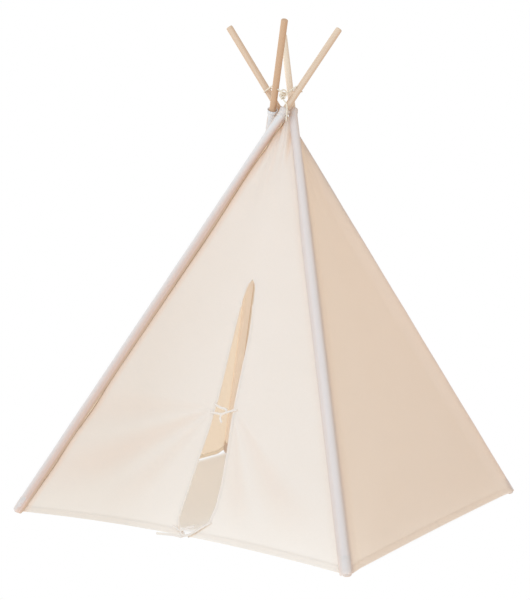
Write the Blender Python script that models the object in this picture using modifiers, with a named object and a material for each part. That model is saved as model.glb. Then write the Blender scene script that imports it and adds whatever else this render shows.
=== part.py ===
"""Kids teepee: four wooden poles roped together near their tops, in the corner sleeves of a
canvas cover whose front has a tied door.

Metres, +Z up. The origin is on the floor in the middle of the four feet. The door faces -Y.
"""

import math

import bmesh
import bpy
from mathutils import Matrix, Vector

# Whole tent
BASE_WIDTH = 1.200  # between the pole axes, at the feet
FOOT_HEIGHT = 0.010  # of the middle of a pole's lower end
CROSS_HEIGHT = 1.309  # where the poles pass each other
CROSS_OFFSET = 0.034  # from the middle of the tent to each pole axis there
FIT = 0.0003  # between pieces that touch
OVERRUN = 0.020  # of a cutter past what it cuts

# Poles, each in two sections joined by a steel tube
POLE_LENGTH = 1.874
POLE_DIAMETER = 0.022
POLE_TIP_ROUND = 0.0045
POLE_SIDES = 32
LOWER_SECTION = 0.930
FERRULE_LENGTH = 0.090
FERRULE_WALL = 0.0012
HOLE_HEIGHT = 1.378  # of the drilled hole that the rope runs through
HOLE_DIAMETER = 0.0062
HOLE_SIDES = 16
HOLE_TURN = math.radians(-60)  # from the pole's hinge axis

# Sleeves at the cover's corners
SLEEVE_WALL = 0.0010
SLEEVE_TOP = 1.304
POCKET_LENGTH = 0.045  # the closed end that the pole stands in
POCKET_WALL = 0.0022
POCKET_FLOOR = 0.0006  # the pole's end clears the pocket by this

# Canvas
CANVAS = 0.0015
COVER_TOP = 1.288
HEM_DEPTH = 0.020
HEM_THICKNESS = 0.0030
HEM_CLEAR = 0.004  # over the floor at the corners
HEM_RISE = {"front": 0.020, "right": 0.003, "back": 0.004, "left": 0.004}
SAG = 0.012  # how far a face hangs inward at its middle

# Door
DOOR_TOP = 0.764
DOOR_BOTTOM_X = 0.053
DOOR_TOP_X = 0.0555
DOOR_GAP = 0.114  # the widest part of the slit
FLAP_TOP = 0.690
FLAP_WIDTH = 0.220  # at the hem
SLIT_GAP = 0.0016  # between the flaps where they meet below the slit
FLAP_TOP_WIDTH = 0.003
# shares of the door's height from the top, and shares of the gap from its middle line
LEFT_EDGE_SHARES = (
    (0.000, 0.000), (0.012, -0.070), (0.035, -0.115), (0.085, -0.140), (0.250, -0.110),
    (0.475, -0.060), (0.620, -0.105), (0.730, -0.175), (0.870, -0.250), (0.945, -0.290),
    (0.985, -0.170), (1.000, 0.000),
)
RIGHT_EDGE_SHARES = (
    (0.000, 0.000), (0.012, 0.090), (0.035, 0.155), (0.085, 0.215), (0.225, 0.350),
    (0.455, 0.440), (0.565, 0.500), (0.680, 0.610), (0.790, 0.690), (0.880, 0.700),
    (0.935, 0.620), (0.975, 0.340), (1.000, 0.000),
)

# Folds that the upper tie pulls into the front
TIE_HEIGHT = 0.384
FOLD_DEPTH = 0.007
FOLD_REACH = 0.46
FOLD_FADE = 0.12  # over the hem
# on the left (-1) and the right (1), the slopes below level that they lie between
FOLD_ANGLES = {-1: (math.radians(-8), math.radians(64)), 1: (math.radians(30), math.radians(88))}
FOLD_COUNTS = {-1: 3, 1: 2}

# Rope and ties
ROPE_DIAMETER = 0.0046
ROPE_SPACING = 0.008
KNOT_WALL = 0.0042
KNOTTED_FROM = "front_left"  # the stretch with the knot runs from this pole to the next
KNOT_SHARE = 0.78  # of the way along that stretch
ROPE_SLACK = 0.026  # that the knotted stretch hangs below the holes
ROPE_BOW = 0.012  # that it hangs outward there
TIE_WIDTH = 0.0070
TIE_THICKNESS = 0.0020
TIE_SPACING = 0.0050
# corners of the tape's cross-section, as shares of half its width and half its thickness
TIE_PROFILE = (
    (1.0, -0.4), (1.0, 0.4), (0.8, 1.0), (-0.8, 1.0),
    (-1.0, 0.4), (-1.0, -0.4), (-0.8, -1.0), (0.8, -1.0),
)

CORNERS = {
    "front_left": (-1, -1),
    "front_right": (1, -1),
    "back_right": (1, 1),
    "back_left": (-1, 1),
}
FACES = {
    "front": ("front_left", "front_right"),
    "right": ("front_right", "back_right"),
    "back": ("back_right", "back_left"),
    "left": ("back_left", "front_left"),
}
SIDES = {"left": -1, "right": 1}
EDGE_SHARES = {-1: LEFT_EDGE_SHARES, 1: RIGHT_EDGE_SHARES}
SLEEVE_BORE = POLE_DIAMETER / 2 + FIT + FERRULE_WALL + FIT
SLEEVE_RADIUS = SLEEVE_BORE + SLEEVE_WALL

# Routes of the ties on the front: across, up and out from the cover's face
UPPER_TIE_LEFT = (
    (0.030, 0.3665, 0.0025), (0.038, 0.3665, 0.0028), (0.046, 0.3665, 0.0048),
    (0.053, 0.3662, 0.0060), (0.061, 0.3658, 0.0063), (0.070, 0.3655, 0.0064),
    (0.080, 0.3665, 0.0066), (0.088, 0.3700, 0.0070), (0.0905, 0.3755, 0.0076),
    (0.0865, 0.3800, 0.0084), (0.078, 0.3812, 0.0090), (0.069, 0.3825, 0.0092),
    (0.060, 0.3848, 0.0088), (0.051, 0.3880, 0.0074), (0.043, 0.3910, 0.0052),
    (0.036, 0.3940, 0.0034),
)
UPPER_TIE_RIGHT = (
    (0.124, 0.3820, 0.0025), (0.117, 0.3810, 0.0028), (0.109, 0.3785, 0.0050),
    (0.101, 0.3750, 0.0078), (0.0935, 0.3712, 0.0098), (0.086, 0.3675, 0.0104),
    (0.0795, 0.3635, 0.0102), (0.0755, 0.3580, 0.0094), (0.076, 0.3520, 0.0084),
    (0.0795, 0.3465, 0.0074), (0.084, 0.3415, 0.0066),
)
LOWER_TIE_LEFT = (
    (0.004, 0.0440, 0.0026), (0.012, 0.0428, 0.0030), (0.021, 0.0404, 0.0050),
    (0.031, 0.0372, 0.0064), (0.041, 0.0346, 0.0072), (0.050, 0.0318, 0.0080),
    (0.056, 0.0268, 0.0086), (0.053, 0.0215, 0.0090), (0.045, 0.0198, 0.0092),
    (0.034, 0.0203, 0.0090), (0.020, 0.0207, 0.0084), (0.004, 0.0201, 0.0074),
    (-0.012, 0.0190, 0.0062), (-0.028, 0.0180, 0.0052), (-0.044, 0.0172, 0.0046),
)
LOWER_TIE_RIGHT = (
    (0.134, 0.0715, 0.0026), (0.127, 0.0668, 0.0032), (0.117, 0.0595, 0.0052),
    (0.106, 0.0510, 0.0068), (0.095, 0.0425, 0.0080), (0.084, 0.0345, 0.0092),
    (0.074, 0.0280, 0.0106), (0.065, 0.0246, 0.0118), (0.0565, 0.0242, 0.0124),
    (0.048, 0.0272, 0.0126), (0.0445, 0.0335, 0.0124), (0.051, 0.0395, 0.0118),
    (0.062, 0.0442, 0.0110), (0.075, 0.0490, 0.0102), (0.087, 0.0535, 0.0094),
)
# Routes of the rope's ends from the middle of its knot: along the rope, up and outward
ROPE_LOOP = (
    (0.0035, 0.0015, 0.0094), (0.0055, 0.0015, 0.0130), (0.0110, 0.0025, 0.0155),
    (0.0160, 0.0070, 0.0150), (0.0160, 0.0135, 0.0135), (0.0095, 0.0180, 0.0130),
    (0.0010, 0.0180, 0.0130), (-0.0055, 0.0135, 0.0135), (-0.0070, 0.0065, 0.0145),
    (-0.0050, 0.0015, 0.0130), (-0.0035, 0.0015, 0.0084),
)
ROPE_TAIL = (
    (0.0000, -0.0075, 0.0005), (-0.0010, -0.0120, 0.0040), (-0.0040, -0.0180, 0.0085),
    (-0.0080, -0.0260, 0.0110), (-0.0110, -0.0370, 0.0110), (-0.0120, -0.0500, 0.0095),
    (-0.0120, -0.0650, 0.0080), (-0.0115, -0.0800, 0.0070),
)


def clear_scene():
    for thing in list(bpy.data.objects):
        bpy.data.objects.remove(thing)


def new_collection(name):
    group = bpy.data.collections.new(name)
    bpy.context.scene.collection.children.link(group)
    return group


def material(name, colour, roughness, metallic=0.0):
    finish = bpy.data.materials.get(name)
    if finish is None:
        finish = bpy.data.materials.new(name)
        finish.use_nodes = True
        shader = finish.node_tree.nodes["Principled BSDF"]
        shader.inputs["Base Color"].default_value = (*colour, 1.0)
        shader.inputs["Roughness"].default_value = roughness
        shader.inputs["Metallic"].default_value = metallic
    return finish


def mix(low, high, share):
    return low + (high - low) * share


def read_edge(edge_shares, share):
    """The edge's offset at a share of the door's height."""
    for (s0, x0), (s1, x1) in zip(edge_shares, edge_shares[1:]):
        if share <= s1:
            t = max(0.0, (share - s0) / (s1 - s0))
            return mix(x0, x1, t)
    return edge_shares[-1][1]


# Where the poles run


def pole_foot(corner):
    side_x, side_y = CORNERS[corner]
    return Vector((side_x * BASE_WIDTH / 2, side_y * BASE_WIDTH / 2, FOOT_HEIGHT))


def pole_tangent(corner):
    """The level direction in which the pole passes beside the middle of the tent."""
    side_x, side_y = CORNERS[corner]
    return Vector((-side_y, side_x, 0)).normalized()


def pole_direction(corner):
    crossing = pole_tangent(corner) * CROSS_OFFSET + Vector((0, 0, CROSS_HEIGHT))
    return (crossing - pole_foot(corner)).normalized()


def pole_point(corner, height):
    foot, way = pole_foot(corner), pole_direction(corner)
    return foot + way * ((height - foot.z) / way.z)


def hinge_axis(corner):
    """Square to the pole. A positive turn about it swings the foot towards the middle."""
    way, tangent = pole_direction(corner), pole_tangent(corner)
    return (tangent - way * tangent.dot(way)).normalized()


def pole_frame(corner):
    """Origin in the drilled hole, X along the hinge axis, Z up the pole."""
    across, way = hinge_axis(corner), pole_direction(corner)
    frame = Matrix((across, way.cross(across), way)).transposed().to_4x4()
    frame.translation = pole_point(corner, HOLE_HEIGHT)
    return frame


def hole_direction(corner):
    turn = Vector((math.cos(HOLE_TURN), math.sin(HOLE_TURN), 0))
    return pole_frame(corner).to_3x3() @ turn


def foot_station():
    """The pole's lower end, measured along the pole from the hole."""
    return -(HOLE_HEIGHT - FOOT_HEIGHT) / pole_direction("front_left").z


# Where the cover's faces run


def hem_height(face, share):
    return HEM_CLEAR + HEM_RISE[face] * (1 - (2 * share - 1) ** 2)


def face_normal(face):
    """Level direction into the tent."""
    low, high = (pole_foot(corner) for corner in FACES[face])
    along = (high - low).normalized()
    return Vector((-along.y, along.x, 0))


def face_point(face, share, height, flat=0.0, hang=0.0):
    """A point between two poles. flat draws it to the plane that holds the door, and hang
    lets it fall inward."""
    low, high = (pole_point(corner, height) for corner in FACES[face])
    point = low.lerp(high, share)
    middle = (low + high) / 2
    inward = face_normal(face)
    point += inward * (flat * (middle - point).dot(inward) + hang)
    return point


def share_at(x, height):
    """The share across the front at which x lies."""
    low, high = (pole_point(corner, height).x for corner in FACES["front"])
    return (x - low) / (high - low)


def x_at(share, height):
    low, high = (pole_point(corner, height).x for corner in FACES["front"])
    return mix(low, high, share)


def door_middle(height):
    bottom = hem_height("front", 0.5)
    return mix(DOOR_BOTTOM_X, DOOR_TOP_X, (height - bottom) / (DOOR_TOP - bottom))


def slit_x(side, height):
    """The slit's edge on side -1 (left) or 1 (right)."""
    bottom = hem_height("front", 0.5)
    share = (DOOR_TOP - height) / (DOOR_TOP - bottom)
    return door_middle(height) + DOOR_GAP * read_edge(EDGE_SHARES[side], min(1.0, share))


def fold_x(side, height):
    """The straight line that a flap turns about."""
    top = slit_x(side, FLAP_TOP)
    bottom = DOOR_BOTTOM_X + side * FLAP_WIDTH
    return mix(top, bottom, (FLAP_TOP - height) / (FLAP_TOP - hem_height("front", 0.5)))


def seam_share(height):
    """The seam from the slit's top up to the middle of the cover's top edge."""
    start = share_at(DOOR_TOP_X, DOOR_TOP)
    return mix(start, 0.5, (height - DOOR_TOP) / (COVER_TOP - DOOR_TOP))


def front_edge(side, height):
    """Where the front's left or right half ends: at the seam, the slit or the flap's fold."""
    if height >= DOOR_TOP:
        return seam_share(height) + side * FIT / 2 / front_width(height)
    if height >= FLAP_TOP:
        return share_at(slit_x(side, height) + side * FIT / 2, height)
    return share_at(fold_x(side, height) + side * FIT / 2, height)


def front_width(height):
    low, high = (pole_point(corner, height).x for corner in FACES["front"])
    return high - low


def tie_folds(side, x, height):
    """How far the folds that fan out from the upper tie dip inward, nothing at the hem."""
    away = side * (x - slit_x(side, TIE_HEIGHT))
    drop = TIE_HEIGHT - height
    lowest, highest = FOLD_ANGLES[side]
    fan = (math.atan2(drop, away) - lowest) / (highest - lowest)
    reach = math.hypot(away, drop) / FOLD_REACH
    over_hem = (height - hem_height("front", 0.5) - HEM_DEPTH) / FOLD_FADE
    if not 0 < fan < 1 or reach > 1 or over_hem < 0:
        return 0.0
    dip = math.sin(math.pi * fan) * math.sin(math.pi * reach) * min(1.0, over_hem)
    return FOLD_DEPTH * dip * (1 - math.cos(2 * math.pi * FOLD_COUNTS[side] * fan)) / 2


# Making meshes


def finish_object(name, mesh, group, finish, parent=None, smooth=True):
    thing = bpy.data.objects.new(name, mesh)
    group.objects.link(thing)
    if finish:
        mesh.materials.append(finish)
    if parent:
        thing.parent = parent
    if smooth:
        mesh.shade_smooth()
        mesh.set_sharp_from_angle(angle=math.radians(40))
    return thing


def rod_mesh(name, radius, start, end, sides=POLE_SIDES, capped=True):
    """A round bar or, with no caps, an open skin, along Z."""
    mesh = bpy.data.meshes.new(name)
    shape = bmesh.new()
    bmesh.ops.create_cone(
        shape, cap_ends=capped, segments=sides, radius1=radius, radius2=radius,
        depth=end - start,
    )
    bmesh.ops.translate(shape, verts=shape.verts, vec=(0, 0, (start + end) / 2))
    shape.to_mesh(mesh)
    shape.free()
    return mesh


def tube(name, bore, wall, start, end, group, finish, parent):
    """A skin at the bore with the wall laid on its outside."""
    thing = finish_object(name, rod_mesh(name, bore, start, end, capped=False), group, finish, parent)
    solid = thing.modifiers.new("wall", "SOLIDIFY")
    solid.thickness = wall
    solid.offset = 1.0
    return thing


def cut(thing, cutter):
    boolean = thing.modifiers.new("cut by " + cutter.name, "BOOLEAN")
    boolean.operation = "DIFFERENCE"
    boolean.solver = "EXACT"
    boolean.object = cutter


def as_cutter(thing):
    thing.hide_render = True
    thing.display_type = "WIRE"
    return thing


def sleeve_cutter(corner, hub, cutters):
    start = foot_station() - POCKET_LENGTH
    end = (COVER_TOP - HOLE_HEIGHT) / pole_direction(corner).z + POCKET_LENGTH
    mesh = rod_mesh("room_" + corner, SLEEVE_RADIUS + FIT, start, end)
    return as_cutter(finish_object("room_" + corner, mesh, cutters, None, hub))


def floor_cutter(cutters):
    mesh = bpy.data.meshes.new("floor_cut")
    shape = bmesh.new()
    bmesh.ops.create_cube(shape, size=2 * BASE_WIDTH)
    bmesh.ops.translate(shape, verts=shape.verts, vec=(0, 0, -BASE_WIDTH))
    shape.to_mesh(mesh)
    shape.free()
    return as_cutter(finish_object("floor_cut", mesh, cutters, None, smooth=False))


def hub_empty(corner, group):
    hub = bpy.data.objects.new("hub_" + corner, None)
    hub.matrix_world = pole_frame(corner)
    group.objects.link(hub)
    return hub


# The poles and their sleeves


def add_pole(corner, group, hub, cutters):
    wood = material("wood_" + corner, (0.62, 0.42, 0.26), 0.55)
    low = foot_station()
    split = low + LOWER_SECTION
    radius = POLE_DIAMETER / 2
    for part, start, end in (
        ("pole_lower_", low, split - FIT / 2),
        ("pole_upper_", split + FIT / 2, low + POLE_LENGTH),
    ):
        mesh = rod_mesh(part + corner, radius, start, end)
        pole = finish_object(part + corner, mesh, group, wood, hub)
        rounding = pole.modifiers.new("rounded ends", "BEVEL")
        rounding.width = POLE_TIP_ROUND
        rounding.segments = 3
        rounding.limit_method = "ANGLE"
        rounding.angle_limit = math.radians(60)
    reach = radius + OVERRUN
    mesh = rod_mesh("drill_" + corner, HOLE_DIAMETER / 2, -reach, reach, HOLE_SIDES)
    drill = as_cutter(finish_object("drill_" + corner, mesh, cutters, None, hub))
    drill.matrix_local = Matrix.Rotation(HOLE_TURN, 4, "Z") @ Matrix.Rotation(math.pi / 2, 4, "Y")
    cut(pole, drill)


def add_ferrule(corner, group, hub):
    steel = material("steel_" + corner, (0.60, 0.60, 0.62), 0.35, 1.0)
    split = foot_station() + LOWER_SECTION
    tube(
        "ferrule_" + corner, POLE_DIAMETER / 2 + FIT, FERRULE_WALL,
        split - FERRULE_LENGTH / 2, split + FERRULE_LENGTH / 2, group, steel, hub,
    )


def add_sleeve(corner, group, hub):
    cloth = material("sleeve_" + corner, (0.86, 0.79, 0.72), 0.9)
    start = foot_station() + POCKET_LENGTH + FIT
    end = (SLEEVE_TOP - HOLE_HEIGHT) / pole_direction(corner).z
    tube("sleeve_" + corner, SLEEVE_BORE, SLEEVE_WALL, start, end, group, cloth, hub)


def add_pocket(corner, group, hub, cutters, floor):
    """The sleeve's sewn end: a cup for the pole, flat where it stands on the floor."""
    cloth = material("pocket_" + corner, (0.84, 0.77, 0.68), 0.9)
    low = foot_station()
    mesh = rod_mesh("pocket_" + corner, SLEEVE_RADIUS, low - POCKET_LENGTH, low + POCKET_LENGTH)
    pocket = finish_object("foot_pocket_" + corner, mesh, group, cloth, hub)
    bore = SLEEVE_RADIUS - POCKET_WALL
    mesh = rod_mesh("pocket_bore_" + corner, bore, low - POCKET_FLOOR, low + POCKET_LENGTH + OVERRUN)
    cut(pocket, as_cutter(finish_object("pocket_bore_" + corner, mesh, cutters, None, hub)))
    cut(pocket, floor)


# The cover


def cloth_object(name, point, levels, columns, thickness, group, finish, cutters=()):
    """A sheet lofted row by row from point(column, level), thickened, and cut for its poles."""
    mesh = bpy.data.meshes.new(name)
    shape = bmesh.new()
    grid = [
        [shape.verts.new(point(column / columns, level)) for column in range(columns + 1)]
        for level in levels
    ]
    for low, high in zip(grid, grid[1:]):
        for column in range(columns):
            shape.faces.new((low[column], low[column + 1], high[column + 1], high[column]))
    shape.to_mesh(mesh)
    shape.free()
    sheet = finish_object(name, mesh, group, finish)
    solid = sheet.modifiers.new("cloth", "SOLIDIFY")
    solid.thickness = thickness
    solid.offset = 0.0
    solid.use_even_offset = True
    for cutter in cutters:
        cut(sheet, cutter)
    return sheet


def even(count):
    return [step / count for step in range(count + 1)]


def add_plain_face(face, group, rooms):
    canvas = material("canvas_" + face, (0.86, 0.79, 0.72), 0.9)
    hemming = material("hem_" + face, (0.84, 0.77, 0.70), 0.9)
    cutters = [rooms[corner] for corner in FACES[face]]

    def panel_point(column, level):
        height = mix(hem_height(face, column) + HEM_DEPTH + FIT, COVER_TOP, level)
        hang = SAG * 4 * column * (1 - column) * math.sin(math.pi * level) ** 0.7
        return face_point(face, column, height, hang=hang)

    def hem_point(column, level):
        return face_point(face, column, hem_height(face, column) + HEM_DEPTH * level)

    cloth_object("panel_" + face, panel_point, even(14), 12, CANVAS, group, canvas, cutters)
    cloth_object("hem_" + face, hem_point, even(1), 16, HEM_THICKNESS, group, hemming, cutters)


def door_levels(count):
    """Shares of the way up the front's edge at the door, with one at each of its turns."""
    base = hem_height("front", 0.5) + HEM_DEPTH + FIT
    turns = [DOOR_TOP - share * (DOOR_TOP - hem_height("front", 0.5)) for share, _ in LEFT_EDGE_SHARES]
    heights = [mix(base, FLAP_TOP, step / (2 * count)) for step in range(2 * count)]
    heights += [FLAP_TOP] + sorted(height for height in turns if FLAP_TOP < height)
    heights += [mix(DOOR_TOP, COVER_TOP, step / count) for step in range(1, count + 1)]
    return [(height - base) / (COVER_TOP - base) for height in heights]


def add_front_half(word, group, rooms):
    side = SIDES[word]
    canvas = material("canvas_front_" + word, (0.88, 0.82, 0.76), 0.9)
    hemming = material("hem_front_" + word, (0.86, 0.80, 0.74), 0.9)
    cutters = [rooms["front_" + word]]
    pole_share = (1 + side) / 2

    def from_pole(column):
        """Columns count to the right, so the left half starts at its pole."""
        return column if side < 0 else 1 - column

    def panel_point(column, level):
        inward = from_pole(column)
        base = hem_height("front", 0.5) + HEM_DEPTH + FIT
        guide = mix(base, COVER_TOP, level)
        share = mix(pole_share, front_edge(side, guide), inward)
        arch = hem_height("front", share) - hem_height("front", 0.5)
        height = guide + arch * (1 - level)
        share = mix(pole_share, front_edge(side, height), inward)
        hang = SAG * 4 * (inward * (1 - inward)) ** 2 * math.sin(math.pi * level)
        hang += tie_folds(side, x_at(share, height), height)
        return face_point("front", share, height, flat=inward * (2 - inward), hang=hang)

    def hem_point(column, level):
        inward = from_pole(column)
        share = mix(pole_share, front_edge(side, hem_height("front", 0.5)), inward)
        height = hem_height("front", share) + HEM_DEPTH * level
        share = mix(pole_share, front_edge(side, height), inward)
        return face_point("front", share, height, flat=inward * (2 - inward))

    cloth_object(
        "panel_front_" + word, panel_point, door_levels(8), 14, CANVAS, group, canvas, cutters,
    )
    cloth_object(
        "hem_front_" + word, hem_point, even(1), 10, HEM_THICKNESS, group, hemming, cutters,
    )


def add_flap(word, group):
    """A door flap from its fold line to the slit's edge. Its origin is on the fold line."""
    side = SIDES[word]
    canvas = material("canvas_flap_" + word, (0.88, 0.82, 0.76), 0.9)

    def across(height, from_slit):
        fold = fold_x(side, height) - side * FIT / 2
        edge = slit_x(side, height) + side * SLIT_GAP / 2
        edge = fold - side * max(FLAP_TOP_WIDTH, side * (fold - edge))
        return mix(edge, fold, from_slit)

    def flap_point(column, level):
        from_slit = column if side > 0 else 1 - column
        guide = mix(hem_height("front", 0.5), FLAP_TOP - 2 * FIT, level)
        share = share_at(across(guide, from_slit), guide)
        height = guide + (hem_height("front", share) - hem_height("front", 0.5)) * (1 - level)
        x = across(height, from_slit)
        hang = tie_folds(side, x, height)
        return face_point("front", share_at(x, height), height, flat=1.0, hang=hang)

    flap = cloth_object("door_flap_" + word, flap_point, even(26), 8, CANVAS, group, canvas)
    pivot = face_point("front", share_at(fold_x(side, FLAP_TOP), FLAP_TOP), FLAP_TOP, flat=1.0)
    flap.data.transform(Matrix.Translation(-pivot))
    flap.location = pivot


# The rope and the ties


def smooth(points, spacing, closed=False):
    """Points at about the spacing along one smooth curve through the given ones."""
    points = [Vector(point) for point in points]
    count = len(points)
    found = []
    for index in range(count if closed else count - 1):
        if closed:
            p0, p1, p2, p3 = (points[(index + k) % count] for k in (-1, 0, 1, 2))
        else:
            p1, p2 = points[index], points[index + 1]
            p0 = points[index - 1] if index else p1 * 2 - p2
            p3 = points[index + 2] if index + 2 < count else p2 * 2 - p1
        steps = max(1, round((p2 - p1).length / spacing))
        for step in range(steps):
            t = step / steps
            found.append(
                (p1 * 2 + (p2 - p0) * t + (p0 * 2 - p1 * 5 + p2 * 4 - p3) * t**2
                 + (p1 * 3 - p0 - p2 * 3 + p3) * t**3) / 2
            )
    if not closed:
        found.append(points[-1])
    return found


def cord_object(name, points, diameter, group, finish, closed=False, capped=True):
    curve = bpy.data.curves.new(name, "CURVE")
    curve.dimensions = "3D"
    curve.bevel_depth = diameter / 2
    curve.bevel_resolution = 2
    curve.use_fill_caps = capped
    spline = curve.splines.new("POLY")
    spline.points.add(len(points) - 1)
    for target, point in zip(spline.points, points):
        target.co = (*point, 1.0)
    spline.use_cyclic_u = closed
    curve.materials.append(finish)
    cord = bpy.data.objects.new(name, curve)
    group.objects.link(cord)
    return cord


def rope_between(corner, next_corner):
    """The rope out of one pole's hole and into the next one's, slack only where it is tied."""
    out, into = hole_direction(corner), hole_direction(next_corner)
    start, end = (pole_point(one, HOLE_HEIGHT) for one in (corner, next_corner))
    clear = POLE_DIAMETER / 2 + ROPE_DIAMETER
    leave, enter = start + out * clear, end - into * clear
    if corner != KNOTTED_FROM:
        return [start, start + out * clear * 0.5, leave, enter, end - into * clear * 0.5]
    away = ((start + end) / 2).normalized()
    away.z = 0
    low = leave.lerp(enter, KNOT_SHARE) + away * ROPE_BOW
    low.z = HOLE_HEIGHT - ROPE_SLACK
    return [start, start + out * clear * 0.5, leave, leave.lerp(low, 0.5) + away * ROPE_DIAMETER,
            low, enter - into * ROPE_DIAMETER * 2, enter, end - into * clear * 0.5]


def add_rope(group):
    cotton = material("rope_cotton", (0.80, 0.74, 0.64), 0.9)
    ring = list(CORNERS)[::-1]
    route = []
    for corner, next_corner in zip(ring, ring[1:] + ring[:1]):
        route += rope_between(corner, next_corner)
    ring_points = smooth(route, ROPE_SPACING, closed=True)
    cord_object("lashing_rope", ring_points, ROPE_DIAMETER, group, cotton, closed=True)
    near = [point for point in ring_points if point.x > 0 > point.y]
    lowest = ring_points.index(min(near, key=lambda point: point.z))
    stretch = ring_points[lowest - 1:lowest + 2]
    skin = cord_object("knot_skin", stretch, ROPE_DIAMETER + 4 * FIT, group, cotton, capped=False)
    bpy.context.view_layer.update()
    seen = skin.evaluated_get(bpy.context.evaluated_depsgraph_get())
    mesh = bpy.data.meshes.new_from_object(seen)
    bpy.data.objects.remove(skin)
    knot = finish_object("lashing_knot", mesh, group, None)
    solid = knot.modifiers.new("knot", "SOLIDIFY")
    solid.thickness = KNOT_WALL
    solid.offset = 1.0
    heart = stretch[1]
    along = (stretch[-1] - stretch[0]).normalized()
    outward = along.cross(Vector((0, 0, 1))).normalized()
    if outward.dot(heart) < 0:
        outward.negate()
    upward = Vector((0, 0, 1))
    for name, route in (("rope_loop", ROPE_LOOP), ("rope_tail", ROPE_TAIL)):
        points = [heart + along * a + upward * u + outward * o for a, u, o in route]
        cord_object(name, smooth(points, ROPE_SPACING), ROPE_DIAMETER, group, cotton)


def add_tie(name, route, group):
    """A flat tape along its route, its broad side to the front."""
    cotton = material(name, (0.90, 0.87, 0.82), 0.85)
    outward = front_outward()
    points = smooth([
        face_point("front", share_at(x, height), height, flat=1.0) + outward * lift
        for x, height, lift in route
    ], TIE_SPACING)
    shape = bmesh.new()
    rings = []
    for index, point in enumerate(points):
        way = points[min(index + 1, len(points) - 1)] - points[max(index - 1, 0)]
        across = way.cross(outward).normalized()
        up = across.cross(way).normalized()
        rings.append([
            shape.verts.new(point + across * (wide * TIE_WIDTH / 2) + up * (deep * TIE_THICKNESS / 2))
            for wide, deep in TIE_PROFILE
        ])
    for ring, following in zip(rings, rings[1:]):
        for k in range(len(ring)):
            shape.faces.new((ring[k - 1], ring[k], following[k], following[k - 1]))
    shape.faces.new(rings[0][::-1])
    shape.faces.new(rings[-1])
    bmesh.ops.recalc_face_normals(shape, faces=shape.faces)
    mesh = bpy.data.meshes.new(name)
    shape.to_mesh(mesh)
    shape.free()
    finish_object(name, mesh, group, cotton)


def front_outward():
    low = face_point("front", 0.5, HEM_CLEAR, flat=1.0)
    up = (face_point("front", 0.5, DOOR_TOP, flat=1.0) - low).normalized()
    return Vector((1, 0, 0)).cross(up).normalized()


def main():
    clear_scene()
    tent = new_collection("kids_teepee")
    cutters = new_collection("cutters")
    floor = floor_cutter(cutters)
    rooms = {}
    for corner in CORNERS:
        hub = hub_empty(corner, tent)
        add_pole(corner, tent, hub, cutters)
        add_ferrule(corner, tent, hub)
        add_sleeve(corner, tent, hub)
        add_pocket(corner, tent, hub, cutters, floor)
        rooms[corner] = sleeve_cutter(corner, hub, cutters)
    for face in ("right", "back", "left"):
        add_plain_face(face, tent, rooms)
    for word in SIDES:
        add_front_half(word, tent, rooms)
        add_flap(word, tent)
    add_rope(tent)
    for name, route in (
        ("upper_tie_left", UPPER_TIE_LEFT),
        ("upper_tie_right", UPPER_TIE_RIGHT),
        ("lower_tie_left", LOWER_TIE_LEFT),
        ("lower_tie_right", LOWER_TIE_RIGHT),
    ):
        add_tie(name, route, tent)
    bpy.context.view_layer.update()


main()
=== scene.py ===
"""Kids teepee: canvas, rope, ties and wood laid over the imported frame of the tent."""

import math
from functools import partialmethod

import bmesh
import bpy
from bpy.props import FloatProperty, FloatVectorProperty, IntProperty, PointerProperty
from bpy.types import Operator, Panel, PropertyGroup
from mathutils import Matrix, Vector, noise
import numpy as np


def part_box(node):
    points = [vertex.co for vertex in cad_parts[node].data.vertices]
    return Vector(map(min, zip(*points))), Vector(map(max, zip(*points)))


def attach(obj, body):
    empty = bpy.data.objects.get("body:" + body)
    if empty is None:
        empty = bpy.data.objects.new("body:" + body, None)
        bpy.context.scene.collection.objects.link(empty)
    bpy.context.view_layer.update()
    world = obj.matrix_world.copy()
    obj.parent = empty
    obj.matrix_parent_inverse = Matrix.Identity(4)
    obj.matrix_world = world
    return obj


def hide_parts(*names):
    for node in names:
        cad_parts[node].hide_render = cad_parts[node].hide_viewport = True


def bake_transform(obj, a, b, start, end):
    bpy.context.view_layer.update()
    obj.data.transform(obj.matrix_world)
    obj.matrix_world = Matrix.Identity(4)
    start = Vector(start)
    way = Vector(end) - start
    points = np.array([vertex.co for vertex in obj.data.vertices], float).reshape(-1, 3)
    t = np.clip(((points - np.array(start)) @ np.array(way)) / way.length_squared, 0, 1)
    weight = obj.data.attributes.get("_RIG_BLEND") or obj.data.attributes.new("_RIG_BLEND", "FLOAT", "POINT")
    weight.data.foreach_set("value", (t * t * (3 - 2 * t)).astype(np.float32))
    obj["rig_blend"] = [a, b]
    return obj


bl_info = {
    "name": "Kids Teepee",
    "version": (1, 0, 0),
    "blender": (4, 5, 0),
    "location": "View3D > Sidebar > Teepee",
    "description": "Canvas play tent on four roped poles, with a tied door",
    "category": "Add Mesh",
}

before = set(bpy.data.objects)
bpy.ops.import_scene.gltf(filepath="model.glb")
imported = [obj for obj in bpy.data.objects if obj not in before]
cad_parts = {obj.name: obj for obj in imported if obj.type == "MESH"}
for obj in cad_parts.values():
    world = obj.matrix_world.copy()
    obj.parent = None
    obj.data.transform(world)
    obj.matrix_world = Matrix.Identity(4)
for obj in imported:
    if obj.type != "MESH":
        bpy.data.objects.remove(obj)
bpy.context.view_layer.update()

# The frame's own sizes: how the poles and the cover stand
BASE_WIDTH = 1.200
FOOT_HEIGHT = 0.010
CROSS_HEIGHT = 1.309
CROSS_OFFSET = 0.034
HOLE_HEIGHT = 1.378
HOLE_TURN = math.radians(-60)
POLE_RADIUS = 0.011
SLEEVE_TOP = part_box("sleeve_back_left")[1].z
SLEEVE_FLARE = 0.0032
POCKET_LENGTH = 0.045
COVER_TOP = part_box("panel_right")[1].z
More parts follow.
